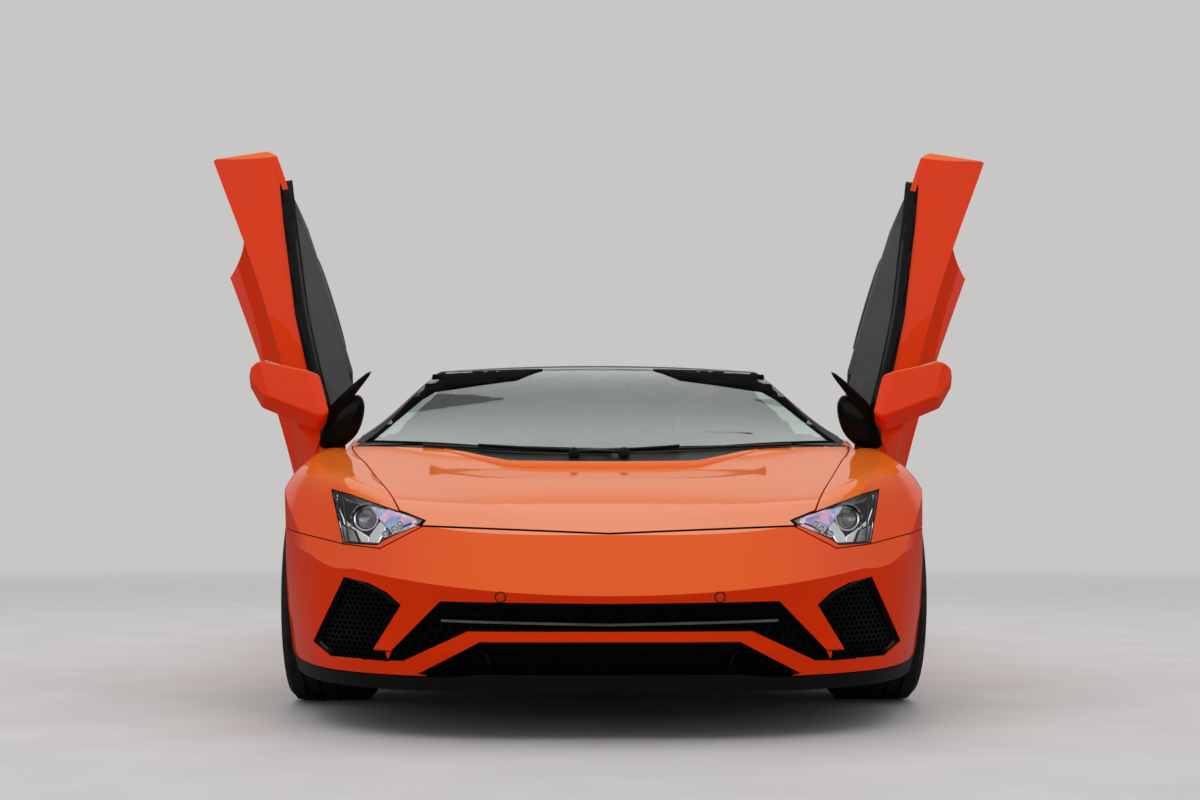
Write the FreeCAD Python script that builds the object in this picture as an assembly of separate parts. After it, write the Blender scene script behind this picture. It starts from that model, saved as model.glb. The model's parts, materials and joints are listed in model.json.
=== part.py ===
import FreeCAD, Part
import math
import os

# A mid-engined two-seat supercar with scissor doors, both of them open.
# Millimetres. The origin is on the ground under the middle of the car, the nose points to -Y,
# +X is the car's left side and +Z is up.

V = FreeCAD.Vector
UP, ACROSS, ALONG = V(0, 0, 1), V(1, 0, 0), V(0, 1, 0)
ORIGIN = V(0, 0, 0)

# Overall sizes
LENGTH = 4797.0
WIDTH = 2030.0
HEIGHT = 1136.0
WHEELBASE = 2700.0
FRONT_OVERHANG = 1130.0
GROUND_CLEARANCE = 120.0

# Body
PANEL = 20.0
LENS = 5.0
SEAM = 5.0
FIXED_SEAM = 3.0
SEAT_GAP = 0.3
MESH_DEPTH = 12.0
TRAY = 10.0
LINER = 6.0

# Doors
DOOR_ANGLE = 71.0
DOOR_TILT = 19.3
DOOR_INNER_HALF = 805.0
DOOR_KNUCKLE_RADIUS = 150.0
DOOR_KNUCKLE_INNER = 848.0
DOOR_KNUCKLE_SIDE_GAP = 16.0
HINGE_PIN_RADIUS = 18.0

# Cabin
CABIN_HALF = 725.0
CABIN_WALL = 22.0
FLOOR_THICKNESS = 30.0
BULKHEAD = 20.0
TUNNEL_HALF = 120.0
TUNNEL_HEIGHT = 210.0

# Wheels and tyres
FRONT_TRACK = 1650.0
REAR_TRACK = 1670.0
FRONT_TYRE_RADIUS = 330.5
REAR_TYRE_RADIUS = 355.5
FRONT_TYRE_WIDTH = 255.0
REAR_TYRE_WIDTH = 345.0
FRONT_BEAD_RADIUS = 254.0
REAR_BEAD_RADIUS = 266.7
RIM_THICKNESS = 9.0
SPOKES = 10
HUB_RADIUS = 74.0
FRONT_DISC_RADIUS = 200.0
REAR_DISC_RADIUS = 190.0
DISC_THICKNESS = 28.0
SPINDLE_RADIUS = 30.0
FRONT_ARCH_RADIUS = 372.0
REAR_ARCH_RADIUS = 395.0
WELL_HALF = 522.0
KINGPIN_HALF = 805.0
KINGPIN_RADIUS = 12.0
UPRIGHT_HALF = 118.0
ARM_RADIUS = 14.0

# Small values
SLIVER_VOLUME = 2000.0
PIVOT_PIN = 5.0
HOOD_CORNER_ROOM = 26.0
LAMP_DEPTH = 110.0
LAMP_WALL = 3.0
LAMP_OUTWARD = 80.0
LAMP_INWARD = 120.0
LAMP_BEHIND = 160.0
PROJECTOR_RADIUS = 42.0
PROJECTOR_LENGTH = 80.0
DOOR_TRIM = 12.0
MIRROR_CORNER = 22.0
MIRROR_ROUND = 12.0
MIRROR_STALK = 14.0
INTAKE_DEPTH_HALF = 840.0
REAR_WELL_HALF = 640.0
LINK_ROOM = 190.0
HUB_LENGTH = 46.0
SPOKE_SPREAD = 9.0
SPOKE_FOOT = 34.0
SPOKE_TIP = 26.0
KNUCKLE_THICKNESS = 34.0
KNUCKLE_WIDTH = 80.0
KINGPIN_DEPTH = 24.0
CALIPER_WALL = 16.0
CALIPER_DEPTH = 70.0
CALIPER_HALF = 95.0
FRONT_RAIL_HALF = 400.0
REAR_RAIL_HALF = 440.0
RAIL = 60.0
ARM_SPREAD = 150.0
ARM_MOUNT_RISE = 130.0
SEAT_WIDTH = 560.0
STEERING_RADIUS = 170.0
STEERING_GRIP = 15.0
COLUMN_LENGTH = 160.0
COLUMN_RISE = 22.0
WIPER_RADIUS = 9.0
EXHAUST_RADIUS = 52.0
EXHAUST_WALL = 4.0
SLATS = 6
SLAT_OVERLAP = 30.0
SLAT_THICKNESS = 8.0
SLAT_DEPTH = 14.0
SLAT_TILT = 5.0
FIN_THICKNESS = 10.0
FULL_TURN = 360.0

# Proportions
crown_share = 1.1
below_share = 0.2
camber_share = 0.75
row_inset_shares = (0, 0, 0, 0, 0.3, 0.5, 0.8, 1)
bead_width_share = 0.93
tread_width_share = 0.84
shoulder_share = 0.4
rim_face_share = 0.84
spoke_face_share = 0.97
hub_core_share = 0.7
carrier_share = 0.8
carrier_length_share = 0.7
bridge_share = 0.6
spindle_inset_share = 0.3
hub_cap_share = 0.2
caliper_start_share = 0.4
ball_reach_share = 2.2
arm_offset_share = 1.1
box_depth_share = 1.1
spoke_grip_share = 0.7

fender_end_share = 0.369
grille_end_share = 0.1188
grille_top_share = 0.3697
quarter_start_share = 0.5232
hood_pivot_half_share = 0.8039
hood_pivot_share = 0.311
cover_pivot_half_share = 0.4887
cover_pivot_share = 0.6327
cabin_start_share = 0.3194
cabin_end_share = 0.5993
bulkhead_top_share = 0.8803
front_rail_end_share = 0.0563
rear_rail_end_share = 0.961
front_cross_shares = [0.02, 0.5, 0.9]
rear_cross_shares = [0.02, 0.25, 0.5, 0.9]
side_open_side_shares = [(0.3815, 0.2641), (0.5264, 0.2641), (0.5264, 1.1444), (0.3252, 1.1444),
    (0.3252, 0.757),
    (0.369, 0.7042)]
projector_shares = (0.6453, 0.0834, 0.493)
sail_side_shares = [(0.3523, 0.7095), (0.3815, 0.7042), (0.3909, 0.757), (0.4036, 0.7975), (0.3982, 0.7931),
    (0.3815, 0.7623), (0.3606, 0.7333)]
belt_trim_top_shares = [(0.5911, 0.5774), (0.7438, 0.5774), (0.7872, 0.5176), (0.8384, 0.4492),
    (0.8522, 0.4044),
    (0.868, 0.359), (0.93, 0.3413), (0.9458, 0.2773), (0.5911, 0.2773)]
belt_trim_level_share = 0.6866
sail_start_share = 0.3515
sail_thin_side_shares = [(0.3252, 0.706), (0.389, 0.721), (0.4232, 0.7245), (0.4232, 0.8803),
    (0.3252, 0.8803)]
sail_swing_low_shares = (0.7833, 0.3398, 0.7007)
sail_swing_high_shares = (0.8325, 0.3548, 0.7412)
door_swing_side_shares = [(0.5066, 0.2201), (0.5391, 0.2201), (0.5391, 0.493), (0.5066, 0.493)]
mirror_top_shares = [(0.8749, 0.384), (1.0443, 0.4023), (1.0818, 0.4007), (1.0897, 0.3898), (1.069, 0.3748),
    (0.9133, 0.3502), (0.8798, 0.3548)]
mirror_front_shares = [(0.867, 0.7482), (0.8916, 0.735), (1.064, 0.7465), (1.0916, 0.7676),
    (1.0877, 0.8028),
    (1.0591, 0.8257), (0.9113, 0.8327), (0.867, 0.8187)]
mirror_low_shares = (0.867, 0.3398, 0.7042)
mirror_high_shares = (1.0936, 0.4148, 0.8803)
mirror_arm_shares = [(0.8729, 0.369, 0.7042), (0.8985, 0.3627, 0.7641)]
door_trim_side_shares = [(0.369, 0.2905), (0.5212, 0.2993), (0.5222, 0.3873), (0.5326, 0.5062),
    (0.5545, 0.6162),
    (0.567, 0.6954), (0.394, 0.6954), (0.3648, 0.5282)]
dash_side_shares = [(0.3148, 0.4225), (0.3148, 0.7394), (0.3523, 0.7394), (0.3815, 0.6866), (0.394, 0.6162),
    (0.3815, 0.4754), (0.3523, 0.4137)]
seat_side_shares = [(0.4232, 0.1414), (0.419, 0.2641), (0.4232, 0.3169), (0.5066, 0.2905), (0.5608, 0.7923),
    (0.5733, 0.8451), (0.5858, 0.8275), (0.5441, 0.2641), (0.5441, 0.1414)]
steering_wheel_shares = (0.3645, 0.4117, 0.6074)
luggage_low_shares = (0, 0.1272, 0.1678)
luggage_high_shares = (0.3251, 0.2376, 0.5634)
engine_low_shares = (0, 0.6316, 0.1937)
engine_high_shares = (0.3251, 0.8088, 0.669)
wiper_points_shares = [[(-0.3251, 0.295, 0.6954), (0.3251, 0.3002, 0.6954)], [(0.2562, 0.296, 0.6954), (0.6305, 0.3189, 0.6954)]]
exhaust_pipe_shares = [-0.1, 0, 0.1]
exhaust_box_start_share = 0.8776
exhaust_start_share = 0.9297
exhaust_end_share = 1.001
exhaust_level_share = 0.2905
exhaust_box_share = 0.3
engine_bay_top_shares = [(0, 0.6473), (0.3251, 0.6431), (0.3399, 0.715), (0.266, 0.8881), (0, 0.8922)]
diffuser_fin_side_shares = [(0.9402, 0.1127), (0.9777, 0.1127), (0.9919, 0.1673), (0.9965, 0.2641),
    (0.986, 0.2835),
    (0.9485, 0.2835)]
diffuser_fin_across_shares = [0.16, 0.29, 0.42]

HALF = WIDTH / 2
NOSE = -LENGTH / 2
FRONT_AXLE = NOSE + FRONT_OVERHANG
REAR_AXLE = FRONT_AXLE + WHEELBASE
CROWN = HEIGHT * crown_share
BELOW = -HEIGHT * below_share

# Upper form: lengthwise stations of the hood, glass, roof and deck. Each row holds the share of
# the length, the height on the middle line, then the edge of the hood or roof, a middle point, the
# crest of the fender or belt, a middle point and a point outside the flank.
upper_form_shares = [
    (-0.025, 0.405, (0.473, 0.417), (0.532, 0.396), (0.591, 0.335), (0.788, 0.176), (1.025, 0.079)),
    (0.0354, 0.456, (0.493, 0.467), (0.537, 0.449), (0.591, 0.401), (0.788, 0.255), (1.025, 0.097)),
    (0.1105, 0.528, (0.591, 0.549), (0.645, 0.56), (0.695, 0.545), (0.788, 0.48), (1.034, 0.29)),
    (0.1834, 0.59, (0.669, 0.602), (0.749, 0.627), (0.833, 0.627), (0.931, 0.616), (1.02, 0.414)),
    (0.2564, 0.645, (0.748, 0.654), (0.818, 0.673), (0.882, 0.666), (0.97, 0.647), (1.02, 0.44)),
    (0.3148, 0.72, (0.806, 0.698), (0.837, 0.702), (0.867, 0.698), (0.97, 0.687), (1.03, 0.555)),
    (0.3815, 0.822, (0.712, 0.8), (0.79, 0.755), (0.849, 0.715), (0.946, 0.71), (1.044, 0.651)),
    (0.4753, 0.975, (0.583, 0.962), (0.724, 0.856), (0.816, 0.72), (0.916, 0.717), (1.044, 0.687)),
    (0.5378, 0.999, (0.571, 0.968), (0.719, 0.862), (0.788, 0.725), (0.906, 0.724), (1.044, 0.692)),
    (0.6004, 0.985, (0.581, 0.95), (0.719, 0.853), (0.808, 0.745), (0.916, 0.738), (1.044, 0.701)),
    (0.6942, 0.91, (0.552, 0.891), (0.729, 0.827), (0.867, 0.775), (0.946, 0.762), (1.044, 0.704)),
    (0.7984, 0.841, (0.512, 0.826), (0.729, 0.799), (0.887, 0.778), (0.975, 0.759), (1.049, 0.643)),
    (0.9026, 0.785, (0.473, 0.78), (0.69, 0.778), (0.867, 0.761), (0.961, 0.744), (1.049, 0.607)),
    (0.9777, 0.762, (0.433, 0.759), (0.65, 0.759), (0.837, 0.744), (0.946, 0.722), (1.034, 0.581)),
    (1.0277, 0.75, (0.414, 0.748), (0.64, 0.746), (0.828, 0.731), (0.936, 0.704), (1.034, 0.563)),
]

# Plan form: columns from the middle of the nose round the flank to the middle of the tail. Each
# holds five points from the sill up to the crest, then how far the top leans in and back.
plan_form_shares = [
    ((0.0, 0.0094, 0.106), (0.0, 0.0052, 0.145), (0.0, 0.0038, 0.202), (0.0, 0.0052, 0.264),
     (0.0, 0.0, 0.322), (0, 1.1)),
    ((0.424, 0.0177, 0.106), (0.433, 0.0142, 0.141), (0.433, 0.0125, 0.198), (0.433, 0.0136, 0.268),
     (0.429, 0.0094, 0.345), (-0.1, 1.05)),
    ((0.665, 0.0521, 0.106), (0.68, 0.049, 0.141), (0.682, 0.0475, 0.202), (0.672, 0.0496, 0.29),
     (0.66, 0.0469, 0.377), (-0.25, 0.75)),
    ((0.833, 0.124, 0.106), (0.847, 0.122, 0.154), (0.859, 0.1209, 0.229), (0.863, 0.122, 0.326),
     (0.856, 0.1188, 0.423), (-0.12, 0.12)),
    ((0.898, 0.1855, 0.106), (0.914, 0.1834, 0.167), (0.93, 0.1834, 0.29), (0.94, 0.1834, 0.379),
     (0.936, 0.1834, 0.467), (0, 0)),
    ((0.931, 0.246, 0.106), (0.951, 0.246, 0.185), (0.962, 0.246, 0.308), (0.973, 0.246, 0.405),
     (0.968, 0.246, 0.528), (0, 0)),
    ((0.882, 0.3398, 0.106), (0.911, 0.3398, 0.201), (0.946, 0.3398, 0.352), (0.926, 0.3398, 0.493),
     (0.961, 0.3398, 0.634), (0, 0)),
    ((0.859, 0.444, 0.106), (0.837, 0.444, 0.21), (0.944, 0.444, 0.37), (0.849, 0.444, 0.546),
     (0.954, 0.444, 0.704), (0, 0)),
    ((0.869, 0.5691, 0.106), (0.842, 0.5691, 0.216), (0.977, 0.5691, 0.37), (0.859, 0.5691, 0.546),
     (0.985, 0.5691, 0.715), (0, 0)),
    ((0.892, 0.6942, 0.106), (0.887, 0.6942, 0.22), (0.987, 0.6942, 0.352), (0.936, 0.6942, 0.528),
     (0.997, 0.6942, 0.722), (0, 0)),
    ((0.936, 0.7984, 0.106), (0.97, 0.7984, 0.22), (0.997, 0.7984, 0.335), (1.003, 0.7984, 0.528),
     (0.985, 0.7984, 0.704), (0, 0)),
    ((0.911, 0.8985, 0.106), (0.946, 0.9026, 0.22), (0.973, 0.9047, 0.326), (0.977, 0.9026, 0.493),
     (0.966, 0.9006, 0.673), (0, 0)),
    ((0.837, 0.9527, 0.106), (0.867, 0.9673, 0.22), (0.892, 0.9756, 0.326), (0.887, 0.9694, 0.493),
     (0.872, 0.9631, 0.656), (-0.05, -0.3)),
    ((0.473, 0.9714, 0.106), (0.493, 0.9871, 0.22), (0.502, 0.9954, 0.326), (0.498, 0.985, 0.493),
     (0.493, 0.9787, 0.656), (0, -0.36)),
    ((0.0, 0.9746, 0.106), (0.0, 0.9906, 0.22), (0.0, 1.0, 0.326), (0.0, 0.9898, 0.493),
     (0.0, 0.9835, 0.656), (0, -0.37)),
]

# Panel outlines. Top outlines hold shares of the half width and the length, side outlines of the
# length and the height, front outlines of the half width and the height. Those that start and end
# on the middle line hold one half.
hood_top_shares = [(0, -0.025), (0.4631, -0.025), (0.4847, 0.0469), (0.4956, 0.0542), (0.5458, 0.0688),
    (0.8039, 0.3064), (0.8059, 0.3148), (0.5172, 0.296), (0.2808, 0.2408), (0, 0.2397)]
cowl_top_shares = [(0, 0.2397), (0.2808, 0.2408), (0.5172, 0.296), (0.8059, 0.3148), (0.7882, 0.324),
    (0.7783, 0.3252), (0.3941, 0.296), (0, 0.2856)]
windshield_top_shares = [(0, 0.2856), (0.3941, 0.296), (0.7783, 0.3252), (0.5665, 0.4784), (0, 0.4836)]
roof_top_shares = [(0, 0.4836), (0.5665, 0.4784), (0.5576, 0.5066), (0.5576, 0.5483), (0.5635, 0.5879),
    (0, 0.5912)]
rear_window_top_shares = [(0, 0.5912), (0.5635, 0.5879), (0.4926, 0.6212), (0, 0.6233)]
engine_cover_top_shares = [(0, 0.6233), (0.4926, 0.6212), (0.4335, 0.7567), (0.3941, 0.9297), (0, 0.9329)]
spoiler_top_shares = [(0, 0.9329), (0.3941, 0.9297), (0.6305, 0.9339), (0.6502, 0.9652), (0, 0.9694)]
bumper_front_shares = [(0, 0.456), (0.4828, 0.4736), (0.5931, 0.4225), (0.7044, 0.4305), (0.867, 0.4577),
    (1.0837, 0.493), (1.0837, 0.1496), (0.7882, 0.1408), (0.7143, 0.1391), (0.4956, 0.1382),
    (0.3251, 0.1452), (0, 0.1452)]
splitter_front_shares = [(0, 0.1452), (0.3251, 0.1452), (0.403, 0.1382), (0.4956, 0.1382), (0.7143, 0.1391),
    (0.7882, 0.1408), (1.0837, 0.1496), (1.0837, 0), (0, 0)]
centre_intake_front_shares = [(0, 0.3046), (0.4256, 0.309), (0.5517, 0.1963), (0.5635, 0.1717),
    (0.5232, 0.1717),
    (0.3567, 0.2421), (0, 0.2421)]
outer_intake_front_shares = [(0.5281, 0.2984), (0.5675, 0.3266), (0.6187, 0.346), (0.6906, 0.3574),
    (0.7852, 0.1998),
    (0.7261, 0.1708), (0.6158, 0.1717), (0.602, 0.1963)]
lower_intake_front_shares = [(0, 0.2192), (0.3251, 0.2192), (0.4828, 0.1452), (0.4138, 0.132),
    (0.3202, 0.1479),
    (0, 0.1479)]
headlight_corner_shares = [(0.7744, 0.1355, 0.5678), (0.4956, 0.0542, 0.5018), (0.4847, 0.0479, 0.4736),
    (0.5931, 0.0521, 0.4225), (0.7044, 0.0792, 0.4305)]
door_side_shares = [(0.3252, 0.7016), (0.389, 0.7165), (0.4753, 0.721), (0.5378, 0.7262), (0.5733, 0.735),
    (0.5816, 0.7148), (0.5608, 0.6162), (0.5378, 0.493), (0.5285, 0.3785), (0.5274, 0.2667),
    (0.3606, 0.2465), (0.3523, 0.4401), (0.344, 0.5634)]
window_side_shares = [(0.3294, 0.7042), (0.3815, 0.7729), (0.4232, 0.8468), (0.4753, 0.9313),
    (0.5066, 0.9489),
    (0.5378, 0.9533), (0.5691, 0.9401), (0.59, 0.9067), (0.5816, 0.7148), (0.5733, 0.735),
    (0.5378, 0.7262), (0.4753, 0.721), (0.389, 0.7165)]
pillar_side_shares = [(0.3148, 0.6954), (0.3294, 0.7042), (0.389, 0.7165), (0.4753, 0.721),
    (0.5378, 0.7262),
    (0.5733, 0.735), (0.59, 0.757), (0.6233, 0.8187), (0.6233, 1.1444), (0.3148, 1.1444)]
skirt_side_shares = [(0.2981, 0), (0.7463, 0), (0.7463, 0.2905), (0.5316, 0.2641), (0.3606, 0.243),
    (0.2981, 0.2113)]
side_intake_side_shares = [(0.5212, 0.2676), (0.5212, 0.3785), (0.5316, 0.493), (0.5545, 0.6162),
    (0.5712, 0.6822),
    (0.6129, 0.6778), (0.6108, 0.5282), (0.6045, 0.3785), (0.6004, 0.2773)]
rear_bumper_side_shares = [(0.8808, 0), (0.8808, 0.3697), (0.9235, 0.493), (0.9485, 0.5634),
    (0.9652, 0.6162),
    (0.9652, 0.8803), (1.0486, 0.8803), (1.0486, 0)]
tail_lamp_front_shares = [(0.4236, 0.6796), (0.8177, 0.6778), (0.8493, 0.6162), (0.6897, 0.6074),
    (0.4335, 0.6294)]
rear_mesh_front_shares = [(0, 0.5986), (0.4138, 0.603), (0.6798, 0.581), (0.7783, 0.5282), (0.7586, 0.3961),
    (0.5123, 0.3521), (0, 0.3521)]
diffuser_front_shares = [(0, 0.2905), (0.4138, 0.2905), (0.6305, 0.2201), (0.7094, 0.1585),
    (0.7094, 0), (0, 0)]
hinge_centre_shares = (0.8473, 0.3252, 0.5986)
pillar_top_shares = [(0, 0.324), (0.8, 0.324), (0.7941, 0.3815), (0.8, 0.6233), (0, 0.6233)]


def at(shares):
    across, along, height = shares
    return V(across * HALF, NOSE + along * LENGTH, height * HEIGHT)


def mirrored(shape):
    return shape.mirror(ORIGIN, ACROSS)


def both(shape):
    return Part.makeCompound([shape, mirrored(shape)])


def fuse(shapes):
    first = shapes[0]
    return first.multiFuse(shapes[1:]).removeSplitter() if len(shapes) > 1 else first


def block(low, high):
    """A box between two corners."""
    size = high - low
    return Part.makeBox(size.x, size.y, size.z, low)


def rod(start, end, radius):
    return Part.makeCylinder(radius, (end - start).Length, start, end - start)


def whole(half_outline):
    """Adds the mirrored half to an outline that starts and ends on the middle line."""
    other = [(-a, b) for a, b in reversed(half_outline) if a > 0]
    return half_outline + other


def prism(outline, view, start, end, grow=0.0):
    """A prism on an outline of shares seen from the side, top or front, grown by a margin."""
    places = {
        "side": lambda a, b: V(start, NOSE + a * LENGTH, b * HEIGHT),
        "top": lambda a, b: V(a * HALF, NOSE + b * LENGTH, start),
        "front": lambda a, b: V(a * HALF, start, b * HEIGHT),
    }
    ways = {"side": ACROSS, "top": UP, "front": ALONG}
    points = [places[view](a, b) for a, b in outline]
    face = Part.Face(Part.makePolygon(points + points[:1]))
    if grow:
        face = face.makeOffset2D(grow, 2)
    return face.extrude(ways[view] * (end - start))


def long_prism(outline, view, grow=0.0):
    """A prism that runs through the whole car. A side outline only takes the +X side."""
    spans = {"side": (0, CROWN), "top": (BELOW, CROWN), "front": (NOSE - HALF, 0)}
    start, end = spans[view]
    return prism(outline, view, start, end, grow)


def row_curve(points, stations, mirrored_ends):
    """A curve through the points, square to the middle plane at its ends where asked."""
    curve = Part.BSplineCurve()
    if not mirrored_ends:
        curve.interpolate(Points=points, Parameters=stations)
        return curve
    more = len(points) // 2
    first, last = stations[0], stations[-1]
    before = [V(-p.x, p.y, p.z) for p in points[more:0:-1]]
    after = [V(-p.x, p.y, p.z) for p in points[-2:-2 - more:-1]]
    earlier = [2 * first - t for t in stations[more:0:-1]]
    later = [2 * last - t for t in stations[-2:-2 - more:-1]]
    curve.interpolate(Points=before + points + after, Parameters=earlier + stations + later)
    curve.segment(first, last)
    return curve


def strip(rows, stations, mirrored_ends=False):
    """A surface whose cross sections are curves with one pole on each row."""
    curves = [row_curve(row, stations, mirrored_ends) for row in rows]
    degree = len(rows) - 1
    lead = curves[0]
    poles = [[curve.getPole(i + 1) for curve in curves] for i in range(lead.NbPoles)]
    surface = Part.BSplineSurface()
    ends = [degree + 1, degree + 1]
    surface.buildFromPolesMultsKnots(poles, lead.getMultiplicities(), ends, lead.getKnots(),
                                     [0.0, 1.0], False, False, lead.Degree, degree)
    return surface.toShape()


def closed_solid(half_faces, cap_levels, axis):
    """Mirrors the faces, closes the two flat ends and sews a solid."""
    faces = [f for half in half_faces for f in (half, mirrored(half))]
    edges = [e for f in faces for e in f.Edges]
    for level in cap_levels:
        rim = [e for e in edges if all(abs(v.Point.dot(axis) - level) < SEAT_GAP for v in e.Vertexes)
               and abs(e.valueAt((e.FirstParameter + e.LastParameter) / 2).dot(axis) - level) < SEAT_GAP]
        faces.append(Part.Face(Part.Wire(Part.__sortEdges__(rim))))
    compound = Part.makeCompound(faces)
    compound.sewShape()
    solid = Part.Solid(compound.Shells[0])
    if solid.Volume < 0:
        solid.reverse()
    return solid


def upper_form(inset):
    """What lies under the hood, glass, roof and deck."""
    rows = [[] for share in row_inset_shares]
    stations = [row[0] for row in upper_form_shares]
    for along, middle, edge, bend, crest, fall, outside in upper_form_shares:
        centre = at((0, along, middle))
        edge, bend, crest, fall, outside = [at((a, along, b)) for a, b in (edge, bend, crest, fall, outside)]
        camber = V(edge.x * camber_share, edge.y, (centre.z + edge.z) / 2)
        points = (centre, V(edge.x / 2, centre.y, centre.z), camber, edge, bend, crest, fall, outside)
        for row, point, share in zip(rows, points, row_inset_shares):
            row.append(point - V(inset * share, 0, inset))
    base = GROUND_CLEARANCE / 2
    side_foot = [V(p.x, p.y, base) for p in rows[-1]]
    middle_foot = [V(0, p.y, base) for p in rows[-1]]
    faces = [strip(rows[0:4], stations), strip(rows[3:6], stations), strip(rows[5:8], stations),
             strip([rows[-1], side_foot], stations), strip([side_foot, middle_foot], stations)]
    return closed_solid(faces, (rows[0][0].y, rows[0][-1].y), ALONG)


def plan_form(inset):
    """What lies inside the nose, flanks and tail."""
    columns = [[at(p) for p in column[:5]] for column in plan_form_shares]
    leans = [column[5] for column in plan_form_shares]
    crest = [column[4] for column in columns]
    stations = [0.0]
    for a, b in zip(crest, crest[1:]):
        stations.append(stations[-1] + V(b.x - a.x, b.y - a.y, 0).Length)
    normals = [-ALONG]
    for a, b in zip(crest, crest[2:]):
        normals.append(V(b.y - a.y, a.x - b.x, 0).normalize())
    normals.append(ALONG)
    base = GROUND_CLEARANCE if not inset else GROUND_CLEARANCE / 2
    rows = [[] for height in columns[0] + [CROWN]]
    for points, lean, normal in zip(columns, leans, normals):
        moved = [p - normal * inset for p in points]
        moved[0].z = base
        rise = CROWN - moved[4].z
        moved.append(V(moved[4].x + lean[0] * rise, moved[4].y + lean[1] * rise, CROWN))
        for row, point in zip(rows, moved):
            row.append(point)
    faces = [strip(rows[0:2], stations, True), strip(rows[1:3], stations, True),
             strip(rows[2:5], stations, True), strip(rows[4:6], stations, True)]
    return closed_solid(faces, (base, CROWN), UP)


def body_form(inset=0.0):
    return upper_form(inset).common(plan_form(inset))


OUTER = body_form()
INNER = body_form(PANEL)
SKIN = OUTER.cut(INNER)
GLASS_SKIN = OUTER.cut(body_form(LENS))
BACKING = body_form(PANEL + SEAT_GAP).cut(body_form(PANEL + SEAT_GAP + MESH_DEPTH))

# Places worked out from the sizes
FRONT_WHEEL = V(FRONT_TRACK / 2, FRONT_AXLE, FRONT_TYRE_RADIUS)
REAR_WHEEL = V(REAR_TRACK / 2, REAR_AXLE, REAR_TYRE_RADIUS)
DOOR_HINGE = at(hinge_centre_shares)
DOOR_AXIS = V(math.cos(math.radians(DOOR_TILT)), 0, -math.sin(math.radians(DOOR_TILT)))


def arch(wheel, radius, inner_half):
    """The clearance cylinder of a wheel, from a wall inside it out past the flank."""
    return Part.makeCylinder(radius, WIDTH, V(inner_half, wheel.y, wheel.z), ACROSS)


FRONT_ARCH = arch(FRONT_WHEEL, FRONT_ARCH_RADIUS, WELL_HALF)
REAR_ARCH = arch(REAR_WHEEL, REAR_ARCH_RADIUS, WELL_HALF)
ARCHES = Part.makeCompound([FRONT_ARCH, REAR_ARCH, mirrored(FRONT_ARCH), mirrored(REAR_ARCH)])


def lamp_prism(grow=0.0, inward=0.0, outward=LAMP_OUTWARD):
    """The prism of a headlight, square to the plane of its corners."""
    corners = [at(c) for c in headlight_corner_shares]
    normal = (corners[1] - corners[0]).cross(corners[4] - corners[0]).normalize()
    if normal.z < 0:
        normal = normal * -1
    middle = corners[0]
    flat = [c - normal * (c - middle).dot(normal) for c in corners]
    face = Part.Face(Part.makePolygon(flat + flat[:1]))
    if grow:
        face = face.makeOffset2D(grow, 2)
    face.translate(normal * -inward)
    return face.extrude(normal * (inward + outward))


def carve(source, zone, others):
    """The piece of the source in a zone, less the zones of its neighbours and their seams."""
    piece = source.common(zone)
    for other in others:
        piece = piece.cut(other)
    return piece


def zone(outline, view, grow=0.0):
    """A panel's zone. Front zones end at the axle behind them, tail zones start at theirs."""
    if view == "tail":
        return prism(outline, "front", REAR_AXLE, LENGTH, grow)
    if view == "nose":
        return prism(outline, "front", NOSE - HALF, FRONT_AXLE, grow)
    if view == "sides":
        return both(prism(outline, "side", 0, CROWN, grow))
    return long_prism(outline, view, grow)


ZONES = {
    "hood": (whole(hood_top_shares), "top"),
    "cowl": (whole(cowl_top_shares), "top"),
    "windshield": (whole(windshield_top_shares), "top"),
    "roof": (whole(roof_top_shares), "top"),
    "pillar": (whole(pillar_top_shares), "top"),
    "rear_window": (whole(rear_window_top_shares), "top"),
    "cover": (whole(engine_cover_top_shares), "top"),
    "spoiler": (whole(spoiler_top_shares), "top"),
    "engine_bay": (whole(engine_bay_top_shares), "top"),
    "bumper": (whole(bumper_front_shares), "nose"),
    "splitter": (whole(splitter_front_shares), "nose"),
    "window": (window_side_shares, "sides"),
    "pillar_side": (pillar_side_shares, "sides"),
    "skirt": (skirt_side_shares, "sides"),
    "intake": (side_intake_side_shares, "sides"),
    "rear_bumper": (rear_bumper_side_shares, "sides"),
    "mesh": (whole(rear_mesh_front_shares), "tail"),
    "diffuser": (whole(diffuser_front_shares), "tail"),
}


def named(name, grow=0.0):
    outline, view = ZONES[name]
    return zone(outline, view, grow)


def knuckle_zone(grow, inner):
    """The round end of a door about its hinge axis, outside an inner plane."""
    start = DOOR_HINGE - DOOR_AXIS * (HALF / 2)
    cylinder = Part.makeCylinder(DOOR_KNUCKLE_RADIUS + grow, HALF, start, DOOR_AXIS)
    return cylinder.cut(block(V(-CROWN, NOSE, BELOW), V(inner, LENGTH, CROWN)))


def door_cut(grow, inner):
    """What a door and its swing take out of the fixed body on the +X side."""
    side = prism(door_side_shares, "side", inner, CROWN, grow)
    return Part.makeCompound([side, knuckle_zone(grow, inner)])


def door_skin_zone(grow):
    """The door's outline in the skin: beside its round end the fixed skin stays."""
    side = prism(door_side_shares, "side", 0, CROWN, grow)
    inner = DOOR_KNUCKLE_INNER - (DOOR_KNUCKLE_SIDE_GAP if grow else 0)
    clear = knuckle_zone(SEAM - grow, 0).common(block(V(0, NOSE, BELOW), V(inner, LENGTH, CROWN)))
    return fuse([side.cut(clear), knuckle_zone(grow, inner)])


DOOR_SEAM = both(door_skin_zone(SEAM))
LAMP_HOLE = both(lamp_prism(0, LAMP_INWARD))
STRUCTURE_ROOM = body_form(PANEL + SEAT_GAP)
RAISED_FLOOR = GROUND_CLEARANCE + TRAY + SEAT_GAP


def y_at(share):
    return NOSE + share * LENGTH


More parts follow.
